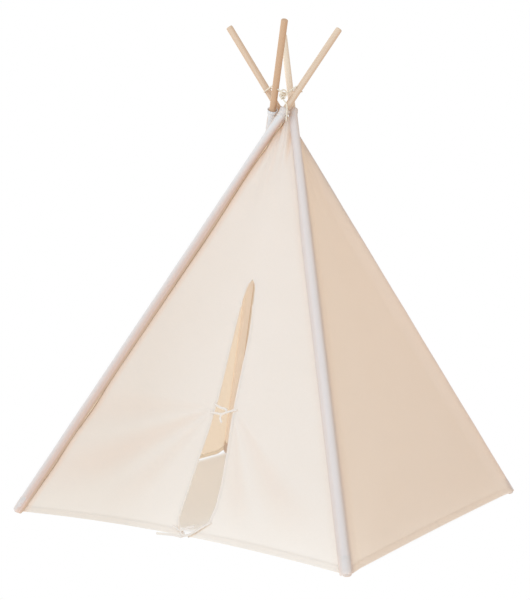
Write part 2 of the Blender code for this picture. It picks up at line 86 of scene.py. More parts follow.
HEM_DEPTH = 0.020
HEM_CLEAR = 0.004
HEM_RISE = {"front": 0.020, "right": 0.003, "back": 0.004, "left": 0.004}
SAG = 0.012
SLACK = (0.0070, 0.0018)  # of the cloth's broad and fine waves
GATHER_DEPTH = 0.0042
GATHERED_FROM = 0.86  # the cloth gathers from here up to the rope

# Door
DOOR_TOP = 0.764
DOOR_BOTTOM_X = 0.053
DOOR_TOP_X = 0.0555
DOOR_GAP = 0.114
FLAP_TOP = 0.690
FLAP_WIDTH = 0.220
FLAP_TOP_WIDTH = 0.003
SLIT_GAP = 0.0016
# The slit's left (-1) and right edge: shares down the door, and across its gap
EDGE_SHARES = {
    -1: (
        (0.0, 0.0), (0.012, -0.07), (0.035, -0.115), (0.085, -0.14), (0.25, -0.11),
        (0.475, -0.06), (0.62, -0.105), (0.73, -0.175), (0.87, -0.25), (0.945, -0.29),
        (0.985, -0.17), (1.0, 0.0),
    ),
    1: (
        (0.0, 0.0), (0.012, 0.09), (0.035, 0.155), (0.085, 0.215), (0.225, 0.35),
        (0.455, 0.44), (0.565, 0.5), (0.68, 0.61), (0.79, 0.69), (0.88, 0.7),
        (0.935, 0.62), (0.975, 0.34), (1.0, 0.0),
    ),
}

# Folds that the upper tie pulls into the front
TIE_HEIGHT = 0.384
FOLD_REACH = 0.78
FOLD_FADE = 0.12
FOLD_ANGLES = {-1: (math.radians(-8), math.radians(64)), 1: (math.radians(30), math.radians(88))}
FOLD_COUNTS = {-1: 3, 1: 2}
# Valleys of the front near the rope: their two ends across and up, their depth and half width
VALLEYS = (
    ((0.034, 1.288), (0.071, 1.110), 0.0110, 0.0065),
    ((-0.002, 1.288), (-0.046, 1.060), 0.0050, 0.0080),
    ((0.014, 1.288), (0.016, 1.010), 0.0040, 0.0110),
)

# Rope and ties
ROPE_DIAMETER = 0.0046
ROPE_SPACING = 0.003
KNOTTED_FROM = "front_left"
KNOT_SHARE = 0.78
ROPE_SLACK = 0.026
ROPE_BOW = 0.012
KNOT_STEPS = 120
KNOT_REACH = (0.0074, 0.0028)  # of its closed curve: the middle and the swing
KNOT_WIDTH = 0.0052
TIE_WIDTH = 0.0070
TIE_THICKNESS = 0.0020
# Each tie's points in mm: across, up, and out from the door
TIES = {
    "upper_tie_left": (
        (30, 366.5, 2.5), (38, 366.5, 2.8), (46, 366.5, 4.8), (53, 366.2, 6), (61, 365.8, 6.3),
        (70, 365.5, 6.4), (80, 366.5, 6.6), (88, 370, 7), (90.5, 375.5, 7.6), (86.5, 380, 8.4),
        (78, 381.2, 9), (69, 382.5, 9.2), (60, 384.8, 8.8), (51, 388, 7.4), (43, 391, 5.2),
        (36, 394, 3.4),
    ),
    "upper_tie_right": (
        (124, 382, 2.5), (117, 381, 2.8), (109, 378.5, 5), (101, 375, 7.8), (93.5, 371.2, 9.8),
        (86, 367.5, 10.4), (79.5, 363.5, 10.2), (75.5, 358, 9.4), (76, 352, 8.4),
        (79.5, 346.5, 7.4), (84, 341.5, 6.6),
    ),
    "lower_tie_left": (
        (4, 44, 2.6), (12, 42.8, 3), (21, 40.4, 5), (31, 37.2, 6.4), (41, 34.6, 7.2),
        (50, 31.8, 8), (56, 26.8, 8.6), (53, 21.5, 9), (45, 19.8, 9.2), (34, 20.3, 9),
        (20, 20.7, 8.4), (4, 20.1, 7.4), (-12, 19, 6.2), (-28, 18, 5.2), (-44, 17.2, 4.6),
    ),
    "lower_tie_right": (
        (134, 71.5, 2.6), (127, 66.8, 3.2), (117, 59.5, 5.2), (106, 51, 6.8), (95, 42.5, 8),
        (84, 34.5, 9.2), (74, 28, 10.6), (65, 24.6, 11.8), (56.5, 24.2, 12.4), (48, 27.2, 12.6),
        (44.5, 33.5, 12.4), (51, 39.5, 11.8), (62, 44.2, 11), (75, 49, 10.2), (87, 53.5, 9.4),
    ),
}
# The same from the knot's middle: along the rope, up and out
ROPE_LOOP = (
    (3.5, 1.5, 9.4), (5.5, 1.5, 13), (11, 2.5, 15.5), (16, 7, 15), (16, 13.5, 13.5), (9.5, 18, 13),
    (1, 18, 13), (-5.5, 13.5, 13.5), (-7, 6.5, 14.5), (-5, 1.5, 13), (-3.5, 1.5, 8.4),
)
ROPE_TAIL = (
    (0, -7.5, 0.5), (-1, -12, 4), (-4, -18, 8.5), (-8, -26, 11), (-11, -37, 11), (-12, -50, 9.5),
    (-12, -65, 8), (-11.5, -80, 7),
)

CORNERS = {
    "front_left": (-1, -1),
    "front_right": (1, -1),
    "back_right": (1, 1),
    "back_left": (-1, 1),
}
FACES = {
    "front": ("front_left", "front_right"),
    "right": ("front_right", "back_right"),
    "back": ("back_right", "back_left"),
    "left": ("back_left", "front_left"),
}
SEWN_TO = {"front_left": "front_right", "front_right": "front_left",
           "back_right": "back_left", "back_left": "back_right"}
WALLED_TO = {"front_left": "back_left", "back_left": "front_left",
             "front_right": "back_right", "back_right": "front_right"}
SIDES = {"left": -1, "right": 1}

# How much darker one pole's timber is than the next
TONES = {"front_left": 0.40, "front_right": -0.04, "back_right": 0.50, "back_left": 1.02}

# How the cloth lies on a pole and along its edges
WRAP_RADIUS = 0.0142
SEAM_REACH = 0.0228  # from the pole's middle to the line of stitches that closes the sleeve
SEAM_REACH_HIGH = 0.0152  # the same near the top
WRAP_BLEND = 0.085  # over which a side wall comes down from the wrap to its own plane
CREASE_DEPTH = 0.003
CREASE_WIDTH = 0.007
SEWN_OVER = 0.004  # by which the cloth starts before the seam
CLOTH_START = 0.0006  # its lower edge over the hem's
FLOOR_CLEAR = 0.0004  # the least height of a leg's cloth
HEM_RISES = (0.001, HEM_DEPTH)  # the two sides of a hem's band over the hem's edge
HEM_BEHIND = 0.0017  # the band's middle behind the cloth
BAND_HALF = 0.0009  # half the thickness of a turned-in band
ROLL_SIDES = (0.0006, 0.0082)  # the two sides of the slit's band from the slit's edge
ROLL_BEHIND = 0.0021  # its middle behind the cloth
ROLL_HALF = 0.0038  # half its width
BAND_SIDES = 12
SLEEVE_CUT = 0.09  # the width of a sleeve's cloth
SLEEVE_CLOTH = 0.0011  # its thickness
SLEEVE_UNDER = 0.0006  # by which it lies under the wall that wraps it
RIM_DEPTH = 0.013  # of the turned-in top
RIM_SWELL = 0.0006
FLARE_DEPTH = 0.018
STITCH_HALF = 0.0005  # half the width of a row of stitches
STITCH_DRAWN = 0.74  # the share of a stitch that its thread covers
HEM_STITCHES = 0.0175  # the row that holds a hem, over the hem's edge
LIT_TOP = 1.25  # below which a back sleeve glows

FLOOR_HALF = 30.0
CAMERA_SHIFT = -0.02347


def colour_of(name, description, *default):
    return FloatVectorProperty(
        name=name, description=description, subtype="COLOR", size=3, min=0, max=1, default=default)


def length_of(name, description, default):
    return FloatProperty(name=name, description=description, unit="LENGTH", default=default)


def angle_of(name, description, degrees):
    return FloatProperty(
        name=name, description=description, unit="ROTATION", default=math.radians(degrees))


class CanvasSettings(PropertyGroup):
    colour: colour_of("Canvas", "Unbleached cotton in daylight", 0.92, 0.865, 0.815)
    shade: colour_of("Slub", "The darker threads of the canvas", 0.84, 0.77, 0.70)
    # Also the colour of the painted glow that the back sleeves emit.
    glow: colour_of("Glow", "Daylight that comes through the cloth", 1.0, 0.83, 0.63)
    # Painted shade: creases and the grooves of stitch rows are painted towards this colour, and the front
    # darkens towards it on its left.
    seam: colour_of("Seam", "The creased cloth along a seam", 0.56, 0.39, 0.25)
    # Painted warm shade: cloth on and beside the poles, in the folds and on the shaded right wall is painted
    # towards this colour.
    blush: colour_of("Blush", "The warm tone of cloth that lies on a pole", 0.80, 0.44, 0.29)
    # Pale inner layers of the hems; it also paints the back sleeves paler, as painted light in the tent's
    # shade.
    lining: colour_of("Lining", "The pale inner layers of a hem", 0.97, 0.95, 0.92)
    thread: colour_of("Thread", "Sewing thread", 0.87, 0.83, 0.78)
    through: FloatProperty(
        name="Let through", description="Share of the light that the cloth lets through",
        min=0, max=1, default=0.46)
    weave: length_of("Weave", "From one thread to the next", 0.0011)
    stitch: length_of("Stitch", "Length of one stitch", 0.0034)
    fold_depth: length_of("Fold depth", "Of the folds that the tie pulls into the front", 0.0145)


class WoodSettings(PropertyGroup):
    light: colour_of("Early wood", "The pale part of the grain", 0.82, 0.63, 0.46)
    dark: colour_of("Late wood", "The dark lines of the grain", 0.60, 0.36, 0.21)
    grain: length_of("Grain", "From one line of the grain to the next", 0.0028)


class CordSettings(PropertyGroup):
    rope: colour_of("Rope", "Cotton rope", 0.86, 0.72, 0.55)
    tie: colour_of("Tie", "Cotton cord of the ties", 0.84, 0.69, 0.57)
    lay: length_of("Lay", "Length in which a strand goes once round the rope", 0.018)
    strands: IntProperty(name="Strands", description="Twisted together", min=2, max=5, default=3)


class StageSettings(PropertyGroup):
    floor: colour_of("Floor", "Pale studio floor", 0.93, 0.92, 0.91)
    sky: FloatProperty(name="Sky", description="Strength of the even light", min=0, default=0.655)
    key: FloatProperty(
        name="Key", description="Power of the soft light from the left, in watts", min=0,
        default=155)
    tint: colour_of("Key colour", "Of the soft light from the left", 0.44, 0.72, 1.0)
    azimuth: angle_of("Azimuth", "Of the camera round the tent", 31.547)
    elevation: angle_of("Elevation", "Of the camera above the floor", 4.328)
    roll: angle_of("Roll", "Of the camera about its view", 1.066)
    distance: length_of("Distance", "From the camera to the middle of the tent", 4.1186)
    middle: length_of("Middle", "Height that the camera looks at", 0.6844)
    lens: FloatProperty(name="Lens", description="Focal length in mm", default=74.24)


class TeepeeSettings(PropertyGroup):
    canvas: PointerProperty(type=CanvasSettings)
    wood: PointerProperty(type=WoodSettings)
    cord: PointerProperty(type=CordSettings)
    stage: PointerProperty(type=StageSettings)


def mix(low, high, share):
    return low + (high - low) * share


def ease(share):
    share = min(1.0, max(0.0, share))
    return share * share * (3 - 2 * share)


def read_edge(edge_shares, share):
    """The edge's offset at a share of the door's height."""
    for (s0, x0), (s1, x1) in zip(edge_shares, edge_shares[1:]):
        if share <= s1:
            return mix(x0, x1, max(0.0, (share - s0) / (s1 - s0)))
    return edge_shares[-1][1]


# Where the poles and the faces between them run


def pole_foot(corner):
    side_x, side_y = CORNERS[corner]
    return Vector((side_x * BASE_WIDTH / 2, side_y * BASE_WIDTH / 2, FOOT_HEIGHT))


def pole_tangent(corner):
    side_x, side_y = CORNERS[corner]
    return Vector((-side_y, side_x, 0)).normalized()


def pole_direction(corner):
    crossing = pole_tangent(corner) * CROSS_OFFSET + Vector((0, 0, CROSS_HEIGHT))
    return (crossing - pole_foot(corner)).normalized()


POLES = {corner: (pole_foot(corner), pole_direction(corner)) for corner in CORNERS}


def pole_point(corner, height):
    foot, way = POLES[corner]
    return foot + way * ((height - foot.z) / way.z)


def pole_frame(corner):
    """Origin in the drilled hole, X along the hinge axis, Z up the pole."""
    way, tangent = POLES[corner][1], pole_tangent(corner)
    across = (tangent - way * tangent.dot(way)).normalized()
    turned = Matrix((across, way.cross(across), way)).transposed().to_4x4()
    turned.translation = pole_point(corner, HOLE_HEIGHT)
    return turned


def hole_direction(corner):
    turn = Vector((math.cos(HOLE_TURN), math.sin(HOLE_TURN), 0))
    return pole_frame(corner).to_3x3() @ turn


def hem_height(face, share):
    return HEM_CLEAR + HEM_RISE[face] * (1 - (2 * share - 1) ** 2)


def face_normal(face):
    """Level direction into the tent."""
    low, high = (POLES[corner][0] for corner in FACES[face])
    along = (high - low).normalized()
    return Vector((-along.y, along.x, 0))


def face_poles(face, height):
    return [pole_point(corner, height) for corner in FACES[face]]


def face_point(face, share, height, flat=0.0, hang=0.0):
    """A point between two poles. flat draws it to the plane that holds the door, and hang
    lets it fall inward."""
    low, high = face_poles(face, height)
    inward = face_normal(face)
    point = low.lerp(high, share)
    return point + inward * (flat * ((low + high) / 2 - point).dot(inward) + hang)


def face_width(face, height):
    low, high = face_poles(face, height)
    return (high - low).length


def share_at(x, height):
    """The share across the front at which x lies."""
    low, high = (point.x for point in face_poles("front", height))
    return (x - low) / (high - low)


def x_at(share, height):
    low, high = (point.x for point in face_poles("front", height))
    return mix(low, high, share)


def door_base():
    return hem_height("front", 0.5)


def slit_x(side, height):
    """The slit's edge on side -1 (left) or 1 (right)."""
    share = (DOOR_TOP - height) / (DOOR_TOP - door_base())
    middle = mix(DOOR_TOP_X, DOOR_BOTTOM_X, share)
    return middle + DOOR_GAP * read_edge(EDGE_SHARES[side], min(1.0, max(0.0, share)))


def fold_x(side, height):
    """The straight line that a flap turns about."""
    top = slit_x(side, FLAP_TOP)
    bottom = DOOR_BOTTOM_X + side * FLAP_WIDTH
    return mix(top, bottom, (FLAP_TOP - height) / (FLAP_TOP - door_base()))


def front_edge(side, height):
    """Where the front's left or right half ends: at the seam, the slit or the flap's fold."""
    if height >= DOOR_TOP:
        start = share_at(DOOR_TOP_X, DOOR_TOP)
        return mix(start, 0.5, (height - DOOR_TOP) / (COVER_TOP - DOOR_TOP))
    if height >= FLAP_TOP:
        return share_at(slit_x(side, height), height)
    return share_at(fold_x(side, height), height)


def tie_folds(side, x, height, depth):
    """How far the folds that fan out from the upper tie dip inward, nothing at the hem."""
    away = side * (x - slit_x(side, TIE_HEIGHT))
    drop = TIE_HEIGHT - height
    lowest, highest = FOLD_ANGLES[side]
    fan = (math.atan2(drop, away) - lowest) / (highest - lowest)
    reach = math.hypot(away, drop) / FOLD_REACH
    over_hem = (height - door_base() - HEM_DEPTH) / FOLD_FADE
    if not 0 < fan < 1 or reach > 1 or over_hem < 0:
        return 0.0
    dip = math.sin(math.pi * fan) * math.sin(math.pi * reach**0.8) * min(1.0, over_hem)
    return depth * dip * (1 - math.cos(2 * math.pi * FOLD_COUNTS[side] * fan)) / 2


def valleys(x, height):
    """How far the valleys near the rope dip inward."""
    dip = 0.0
    for (x0, high), (x1, low), depth, width in VALLEYS:
        along = (high - height) / (high - low)
        if 0 < along < 1:
            off = (x - mix(x0, x1, along)) / mix(0.5 * width, width, along)
            dip += depth * math.exp(-off * off) * ease((1 - along) / 0.6) * ease(along / 0.15 + 0.4)
    return dip


def slack(face, share, height):
    """Shallow waves of cloth that is held only at its edges, and gathers under the rope."""
    seed = list(FACES).index(face) * 7.3
    width = face_width(face, height)
    held = min(1.0, width / 0.5) * math.sin(math.pi * share) ** 0.8 * ease(height / 0.15)
    broad = noise.noise(Vector((share * width * 2.4, height * 1.7, seed)))
    fine = noise.noise(Vector((share * width * 8.0 + height * 2.0, height * 3.0, seed + 3)))
    gather = ease((height - GATHERED_FROM) / (COVER_TOP - GATHERED_FROM))
    rays = math.sin(math.pi * share) * math.sin(2 * math.pi * (3.5 * share + 0.2 + seed))
    return held * (SLACK[0] * broad + SLACK[1] * fine) + GATHER_DEPTH * gather * rays


# The cloth round a pole


def seam_reach(corner, height):
    gap = (pole_point(SEWN_TO[corner], height) - pole_point(corner, height)).length
    reach = mix(SEAM_REACH, SEAM_REACH_HIGH, ease((height - GATHERED_FROM) / 0.28))
    return max(WRAP_RADIUS * 1.02, min(reach, 0.42 * gap))


def wrap_frame(corner, height):
    """The pole's middle, the ways to its seam and out of the tent, and the angle from the seam
    at which the side wall leaves."""
    middle, way = pole_point(corner, height), POLES[corner][1]

    def square(other):
        run = pole_point(other, height) - middle
        return (run - way * run.dot(way)).normalized()

    seamed, walled = square(SEWN_TO[corner]), square(WALLED_TO[corner])
    outer = way.cross(seamed)
    if outer.dot(walled) > 0:
        outer.negate()
    leaves = 1.5 * math.pi - math.acos(seamed.dot(walled))
    return middle, seamed, outer, leaves


def wrap_point(corner, height, angle, swell):
    """A point of the cloth round the pole, angle away from the seam."""
    middle, seamed, outer, _ = wrap_frame(corner, height)
    radius = WRAP_RADIUS + swell
    pinch = math.acos(WRAP_RADIUS / seam_reach(corner, height))
    turn = abs((angle + math.pi) % (2 * math.pi) - math.pi)
    if turn < pinch:
        radius /= math.cos(pinch - turn)
    return middle + (seamed * math.cos(angle) + outer * math.sin(angle)) * radius


def wrap_wrinkle(corner, height, angle):
    """Small slack of the sleeve on its pole, only outward."""
    seed = list(CORNERS).index(corner) * 5.1
    spot = Vector((math.cos(angle) * 0.6, math.sin(angle) * 0.6, height * 9 + seed))
    return 0.0012 * max(0.0, noise.noise(spot) + 0.25)


def seam_dip(apart):
    """How far the cloth dips along its seam."""
    return CREASE_DEPTH * math.exp(-((apart / CREASE_WIDTH) ** 2))


def sewn_start(corner, height):
    """The share of the face's width that the sleeve takes, up to its seam."""
    gap = pole_point(SEWN_TO[corner], height) - pole_point(corner, height)
    way = POLES[corner][1]
    lean = (gap - way * gap.dot(way)).length / gap.length
    return (seam_reach(corner, height) / lean - SEWN_OVER) / gap.length


def wall_point(face, share, height, level, dip=0.0):
    """A point of a wall that hangs inward between its poles."""
    hang = SAG * 4 * share * (1 - share) * math.sin(math.pi * level) ** 0.7
    return face_point(face, share, height, hang=hang + slack(face, share, height) + dip)


def side_share(face, corner, way_out):
    """The share across a face, way_out from its middle (0) to one of its poles (1)."""
    return 0.5 + (0.5 if FACES[face][1] == corner else -0.5) * way_out


def side_point(face, corner, way_out, height, level):
    """A side wall's point, raised to meet the wrap, and its distance from the pole."""
    width = face_width(face, height)
    apart = (1 - way_out) * width / 2
    lift = WRAP_RADIUS * (1 - ease(apart / min(WRAP_BLEND, 0.45 * width)))
    _, seamed, outer, leaves = wrap_frame(corner, height)
    point = wall_point(face, side_share(face, corner, way_out), height, level)
    return point + (seamed * math.cos(leaves) + outer * math.sin(leaves)) * lift, apart


# Meshes


def add_piece(mesh, finish, body, node="", shares=()):
    """Puts a mesh on its body, in place of its node. With shares, one for each point, it keeps to
    the cover where a share is 0 and to its leg where it is 1."""
    piece = bpy.data.objects.new(mesh.name, mesh)
    bpy.context.scene.collection.objects.link(piece)
    mesh.materials.append(finish)
    mesh.shade_smooth()
    if shares:
        foot = POLES[body.removeprefix("leg_")][0]
        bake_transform(piece, "cover", body, start=(0, 0, 0), end=foot)
        weight = mesh.attributes["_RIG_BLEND"]
        weight.data.foreach_set("value", [ease(share) for share in shares])
    else:
        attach(piece, body)
    if node:
        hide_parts(node)
    return piece


def cloth_mesh(name, spot, columns, rows, closed=False):
    """spot(a, b) gives a point, its place on the flat cloth, its place from and along the
    nearest seam, and sometimes how deep in a fold it is, which sets the fold's painted shade,
    and how far over the hem's edge it is."""
    spots = [[spot(i / columns, j / rows) for i in range(columns + 1)] for j in range(rows + 1)]
    across = columns if closed else columns + 1
    corners = [
        ring for j in range(rows) for i in range(columns)
        for ring in ((i, j), (i + 1, j), (i + 1, j + 1), (i, j + 1))
    ]
    order = [j * across + i % across for i, j in corners]
    mesh = bpy.data.meshes.new(name)
    mesh.from_pydata(
        [found[0] for row in spots for found in row[:across]], [],
        [order[k:k + 4] for k in range(0, len(order), 4)],
    )
    for index, layer in enumerate(("cloth", "seam", "relief")[:len(spots[0][0]) - 1], 1):
        flat = mesh.uv_layers.new(name=layer)
        flat.data.foreach_set("uv", [n for i, j in corners for n in spots[j][i][index]])
    return mesh


def tube_mesh(name, spot, sides, rows):
    """A tube with its two ends closed."""
    mesh = cloth_mesh(name, spot, sides, rows, closed=True)
    shape = bmesh.new()
    shape.from_mesh(mesh)
    shape.verts.ensure_lookup_table()
    shape.faces.new([shape.verts[k] for k in reversed(range(sides))])
    shape.faces.new([shape.verts[rows * sides + k] for k in range(sides)])
    shape.to_mesh(mesh)
    shape.free()
    return mesh


def run_along(path):
    """The way gone at each point of the path."""
    run = [0.0]
    for before, after in zip(path, path[1:]):
        run.append(run[-1] + (after - before).length)
    return run


def band_mesh(name, stations, half_width, half_thickness, sides=BAND_SIDES):
    """A flat band with round edges along stations of (middle, way across, way out)."""
    run = run_along([middle for middle, _, _ in stations])

    def rounded(wave, half):
        return math.copysign(abs(wave) ** 0.7, wave) * half

    def spot(a, b):
        index = round(b * (len(stations) - 1))
        middle, across, outward = stations[index]
        angle = 2 * math.pi * a
        wide = rounded(math.cos(angle), half_width)
        place = middle + across * wide + outward * rounded(math.sin(angle), half_thickness)
        return place, (wide, run[index]), (half_width - abs(wide), run[index])

    return tube_mesh(name, spot, sides, len(stations) - 1)


def smooth(points, spacing, closed=False):
    """Points at about the spacing along one smooth curve through the given ones."""
    points = [Vector(point) for point in points]
    if closed:
        points = points[-1:] + points + points[:2]
    else:
        points = [points[0] * 2 - points[1]] + points + [points[-1] * 2 - points[-2]]
    found = []
    for p0, p1, p2, p3 in zip(points, points[1:], points[2:], points[3:]):
        steps = max(1, round((p2 - p1).length / spacing))
        for t in (step / steps for step in range(steps)):
            found.append(
                (p1 * 2 + (p2 - p0) * t + (p0 * 2 - p1 * 5 + p2 * 4 - p3) * t**2
                 + (p1 * 3 - p0 - p2 * 3 + p3) * t**3) / 2)
    return found if closed else found + [p2]


def tube_frames(path):
    """A way across and one square to it at each point, with no twist of their own."""
    frames = []
    across = Vector((0, 0, 1))
    for index, point in enumerate(path):
        before, after = path[max(0, index - 1)], path[min(len(path) - 1, index + 1)]
        way = (after - before).normalized()
        across = across - way * across.dot(way)
        if across.length < 1e-4:
            across = way.orthogonal()
        across.normalize()
        frames.append((point, across.copy(), way.cross(across)))
    return frames


def strand_mesh(name, path, look, sides=30):
    """A cord of strands twisted together."""
    frames, run = tube_frames(path), run_along(path)

    def spot(a, b):
        index = round(b * (len(path) - 1))
        point, across, outward = frames[index]
        angle = 2 * math.pi * a
        lobe = abs(math.cos(look.strands / 2 * (angle - 2 * math.pi * run[index] / look.lay)))
        end = min(run[index], run[-1] - run[index]) / (0.4 * ROPE_DIAMETER)
        radius = ROPE_DIAMETER / 2 * (0.88 + 0.12 * lobe) * (0.75 + 0.25 * min(1.0, end))
        place = point + (across * math.cos(angle) + outward * math.sin(angle)) * radius
        twist = (a * look.strands - run[index] / look.lay * look.strands) % 1.0
        return place, (a * math.pi * ROPE_DIAMETER, run[index]), (twist, run[index])

    return tube_mesh(name, spot, sides, len(path) - 1)


def tape_mesh(name, path, outward):
    """A flat tape along its path, with its broad side outward."""
    stations = []
    for index, point in enumerate(path):
        way = path[min(index + 1, len(path) - 1)] - path[max(index - 1, 0)]
        across = way.cross(outward).normalized()
        stations.append((point, across, across.cross(way).normalized()))
    return band_mesh(name, stations, TIE_WIDTH / 2, TIE_THICKNESS / 2, sides=20)


# Materials


class Wire:
    """A node's output. Plain arithmetic on it adds the nodes that work it out."""

    def __init__(self, finish, socket):
        self.finish, self.socket = finish, socket

    def maths(self, operation, *others):
        sockets = {0: self} | {k + 1: other for k, other in enumerate(others)}
        return self.finish.node("ShaderNodeMath", {"operation": operation}, sockets)

    __add__ = __radd__ = partialmethod(maths, "ADD")
    __mul__ = __rmul__ = partialmethod(maths, "MULTIPLY")
    __sub__ = partialmethod(maths, "SUBTRACT")
    __truediv__ = partialmethod(maths, "DIVIDE")
    __mod__ = partialmethod(maths, "FLOORED_MODULO")
    __lt__ = partialmethod(maths, "LESS_THAN")
    __gt__ = partialmethod(maths, "GREATER_THAN")
    __abs__ = partialmethod(maths, "ABSOLUTE")
    sine = partialmethod(maths, "SINE")

    def __rsub__(self, other):
        return self * -1 + other

    def clamped(self):
        return self.maths("MAXIMUM", 0.0).maths("MINIMUM", 1.0)

    def bell(self, middle, width):
        """1 at the middle, falling to 0 over the width."""
        return (1 - abs(self - middle) / width).maths("MAXIMUM", 0.0)


class Finish:
    """A material in the making."""

    def __init__(self, name):
        self.material = bpy.data.materials.new(name)
        self.material.use_nodes = True
        self.tree = self.material.node_tree
        self.tree.nodes.clear()

    def node(self, kind, settings, sockets, output=0):
        node = self.tree.nodes.new(kind)
        for word, value in settings.items():
            setattr(node, word, value)
        for word, value in sockets.items():
            socket = node.inputs[word]
            if isinstance(value, Wire):
                self.tree.links.new(value.socket, socket)
            elif socket.type == "RGBA":
                socket.default_value = (*value, 1.0)
            else:
                socket.default_value = value
        return Wire(self, node.outputs[output])

    def blend(self, factor, first, second):
        """A colour from first to second. Sockets 6 and 7 of the Mix node hold its colours."""
        return self.node(
            "ShaderNodeMix", {"data_type": "RGBA"}, {0: factor, 6: first, 7: second}, 2)

    def noise(self, vector, detail=2.0, roughness=0.5, scale=1.0):
        return self.node("ShaderNodeTexNoise", {}, {
            "Vector": vector, "Scale": scale, "Detail": detail, "Roughness": roughness})

    def stretched(self, vector, scale, turn=(0, 0, 0)):
        return self.node("ShaderNodeMapping", {}, {
            "Vector": vector, "Scale": scale, "Rotation": turn})

    def place(self):
        """The place in the object, which is the tent's own."""
        return self.node("ShaderNodeTexCoord", {}, {}, 3)

    def on_pole(self, corner):
        """The place with Z along the pole."""
        turned = pole_frame(corner).to_3x3().transposed().to_euler()
        return self.stretched(self.place(), (1, 1, 1), tuple(turned))

    def parts(self, vector):
        return [self.node("ShaderNodeSeparateXYZ", {}, {0: vector}, k) for k in (0, 1)]

    def laid(self, layer):
        """The two numbers of a UV map, and the map itself."""
        flat = self.node("ShaderNodeUVMap", {"uv_map": layer}, {})
        return (*self.parts(flat), flat)

    def bump(self, strength, distance, height):
        return self.node("ShaderNodeBump", {}, {
            "Strength": strength, "Distance": distance, "Height": height})

    def skin(self, colour, roughness, **others):
        """A plain surface. The other sockets are named with _ for each space."""
        sockets = {word.replace("_", " "): value for word, value in others.items()}
        return self.node("ShaderNodeBsdfPrincipled", {}, {
            "Base Color": colour, "Roughness": roughness} | sockets)

    def surface(self, shader):
        out = self.tree.nodes.new("ShaderNodeOutputMaterial")
        self.tree.links.new(shader.socket, out.inputs["Surface"])
        return self.material


def darker(colour, shares):
    return tuple(part * share for part, share in zip(colour, shares))


def canvas_finish(name, canvas, stitch_rows, crease=0.0, dark_crease=0.5, blush=0.0, hazy=1.0,
                  through=None, on_pole=0.0, relief=0.0, warm=0.0, leftward=0.0, lined=False,
                  lit=0.0):
    """Cotton canvas. stitch_rows are the distances of its rows of stitches from its seam, each in
    a groove with a little painted shade; along the seam the crease gets painted shade and, more
    widely, the cloth a painted warm shade. on_pole paints warm shade on what lies on the pole and
    a painted warmth on the rest, relief paints warm shade into the folds, leftward darkens the
    front towards its left edge, and lit gives the sleeve a painted glow below LIT_TOP."""
    cloth = Finish(name)
    across, along, flat = cloth.laid("cloth")
    from_seam, by_seam, _ = cloth.laid("seam")

    def stitches(off, run):
        return (abs(off) < STITCH_HALF) * ((run % canvas.stitch) < STITCH_DRAWN * canvas.stitch)

    turn = 2 * math.pi / canvas.weave
    weave = (across * turn).sine() * (along * turn).sine() * 0.5 + 0.5
    slub_across = cloth.noise(cloth.stretched(flat, (70, 900, 1)), 3.0)
    slub_along = cloth.noise(cloth.stretched(flat, (900, 70, 1)), 3.0)
    patches = cloth.noise(flat, 4.0, 0.6, 5.0)
    shade = (slub_across + slub_along - 0.72) * 0.85 + (patches - 0.5) * 0.5 * hazy
    colour = cloth.blend(shade.clamped(), canvas.colour, canvas.shade)
    height = weave * 0.25 + (slub_across + slub_along) * 0.5
    share = canvas.through if through is None else through
    # A pale lining for the hems; on the back sleeves the same pale colour is painted light, standing in for
    # light the tent's shade keeps from them.
    if lined:
        colour = cloth.blend(0.8, colour, canvas.lining)
    if leftward:
        left = ((0.06 - across) / 0.30).clamped()
        colour = cloth.blend(left * leftward, colour, canvas.seam)
        share = share - left * (0.3 * leftward)
    if relief:
        fold, over_hem, _ = cloth.laid("relief")
        # Painted warm shade in the folds, by how deep they are.
        colour = cloth.blend(fold * relief, colour, canvas.blush)
        sewn = stitches(over_hem - HEM_STITCHES, across)
        colour = cloth.blend(sewn * 0.7, colour, canvas.thread)
        height = height + sewn * 1.2 - over_hem.bell(HEM_STITCHES, 0.0015) * 0.5
    # Painted warm shade on the cloth that lies on the pole, and a painted warmth on the rest; on the pole it
    # also lets less light through.
    if on_pole:
        clear = ((from_seam - 0.036) / 0.012).clamped()
        colour = cloth.blend(clear * (warm - on_pole) + on_pole, colour, canvas.blush)
        share = clear * (0.5 * share) + 0.5 * share
    elif warm:
        colour = cloth.blend(warm, colour, canvas.blush)
    # Painted warm shade in a band beside the seam.
    if blush:
        colour = cloth.blend(from_seam.bell(0.0, 0.030) * blush, colour, canvas.blush)
    # Painted shade in the crease along the seam: a darker colour and less light let through.
    if crease:
        dark = (from_seam.bell(0.0, crease) * 1.4).maths("MINIMUM", 1.0)
        colour = cloth.blend(dark * dark_crease, colour, canvas.seam)
        share = share * (1 - dark * (0.75 * dark_crease))
        height = height - dark * 1.2
    for row in stitch_rows:
        # Each row sits in a groove with a little painted shade; its stitches are thread.
        line = from_seam.bell(row, 0.0016)
        drawn = stitches(from_seam - row, by_seam)
        colour = cloth.blend(line * 0.10, colour, canvas.seam)
        colour = cloth.blend(drawn * 0.8, colour, canvas.thread)
        height = height - line * 1.4 + drawn * 1.6
    glow = (0.0, 0.0, 0.0)
    # Painted glow: the back sleeves emit light below LIT_TOP, standing in for light the tent's shade keeps
    # from them.
    if lit:
        glow = cloth.blend(((LIT_TOP - along) / 0.3).clamped(), glow, canvas.glow)
    bump = cloth.bump(0.5, 0.0006, height)
    front = cloth.skin(colour, 0.86, Normal=bump, Sheen_Weight=0.04, Sheen_Roughness=0.6,
                       Specular_IOR_Level=0.12, Emission_Strength=lit, Emission_Color=glow)
    behind = cloth.node("ShaderNodeBsdfTranslucent", {}, {
        "Color": canvas.lining if lined else canvas.glow, "Normal": bump})
    return cloth.surface(cloth.node("ShaderNodeMixShader", {}, {0: share, 1: front, 2: behind}))


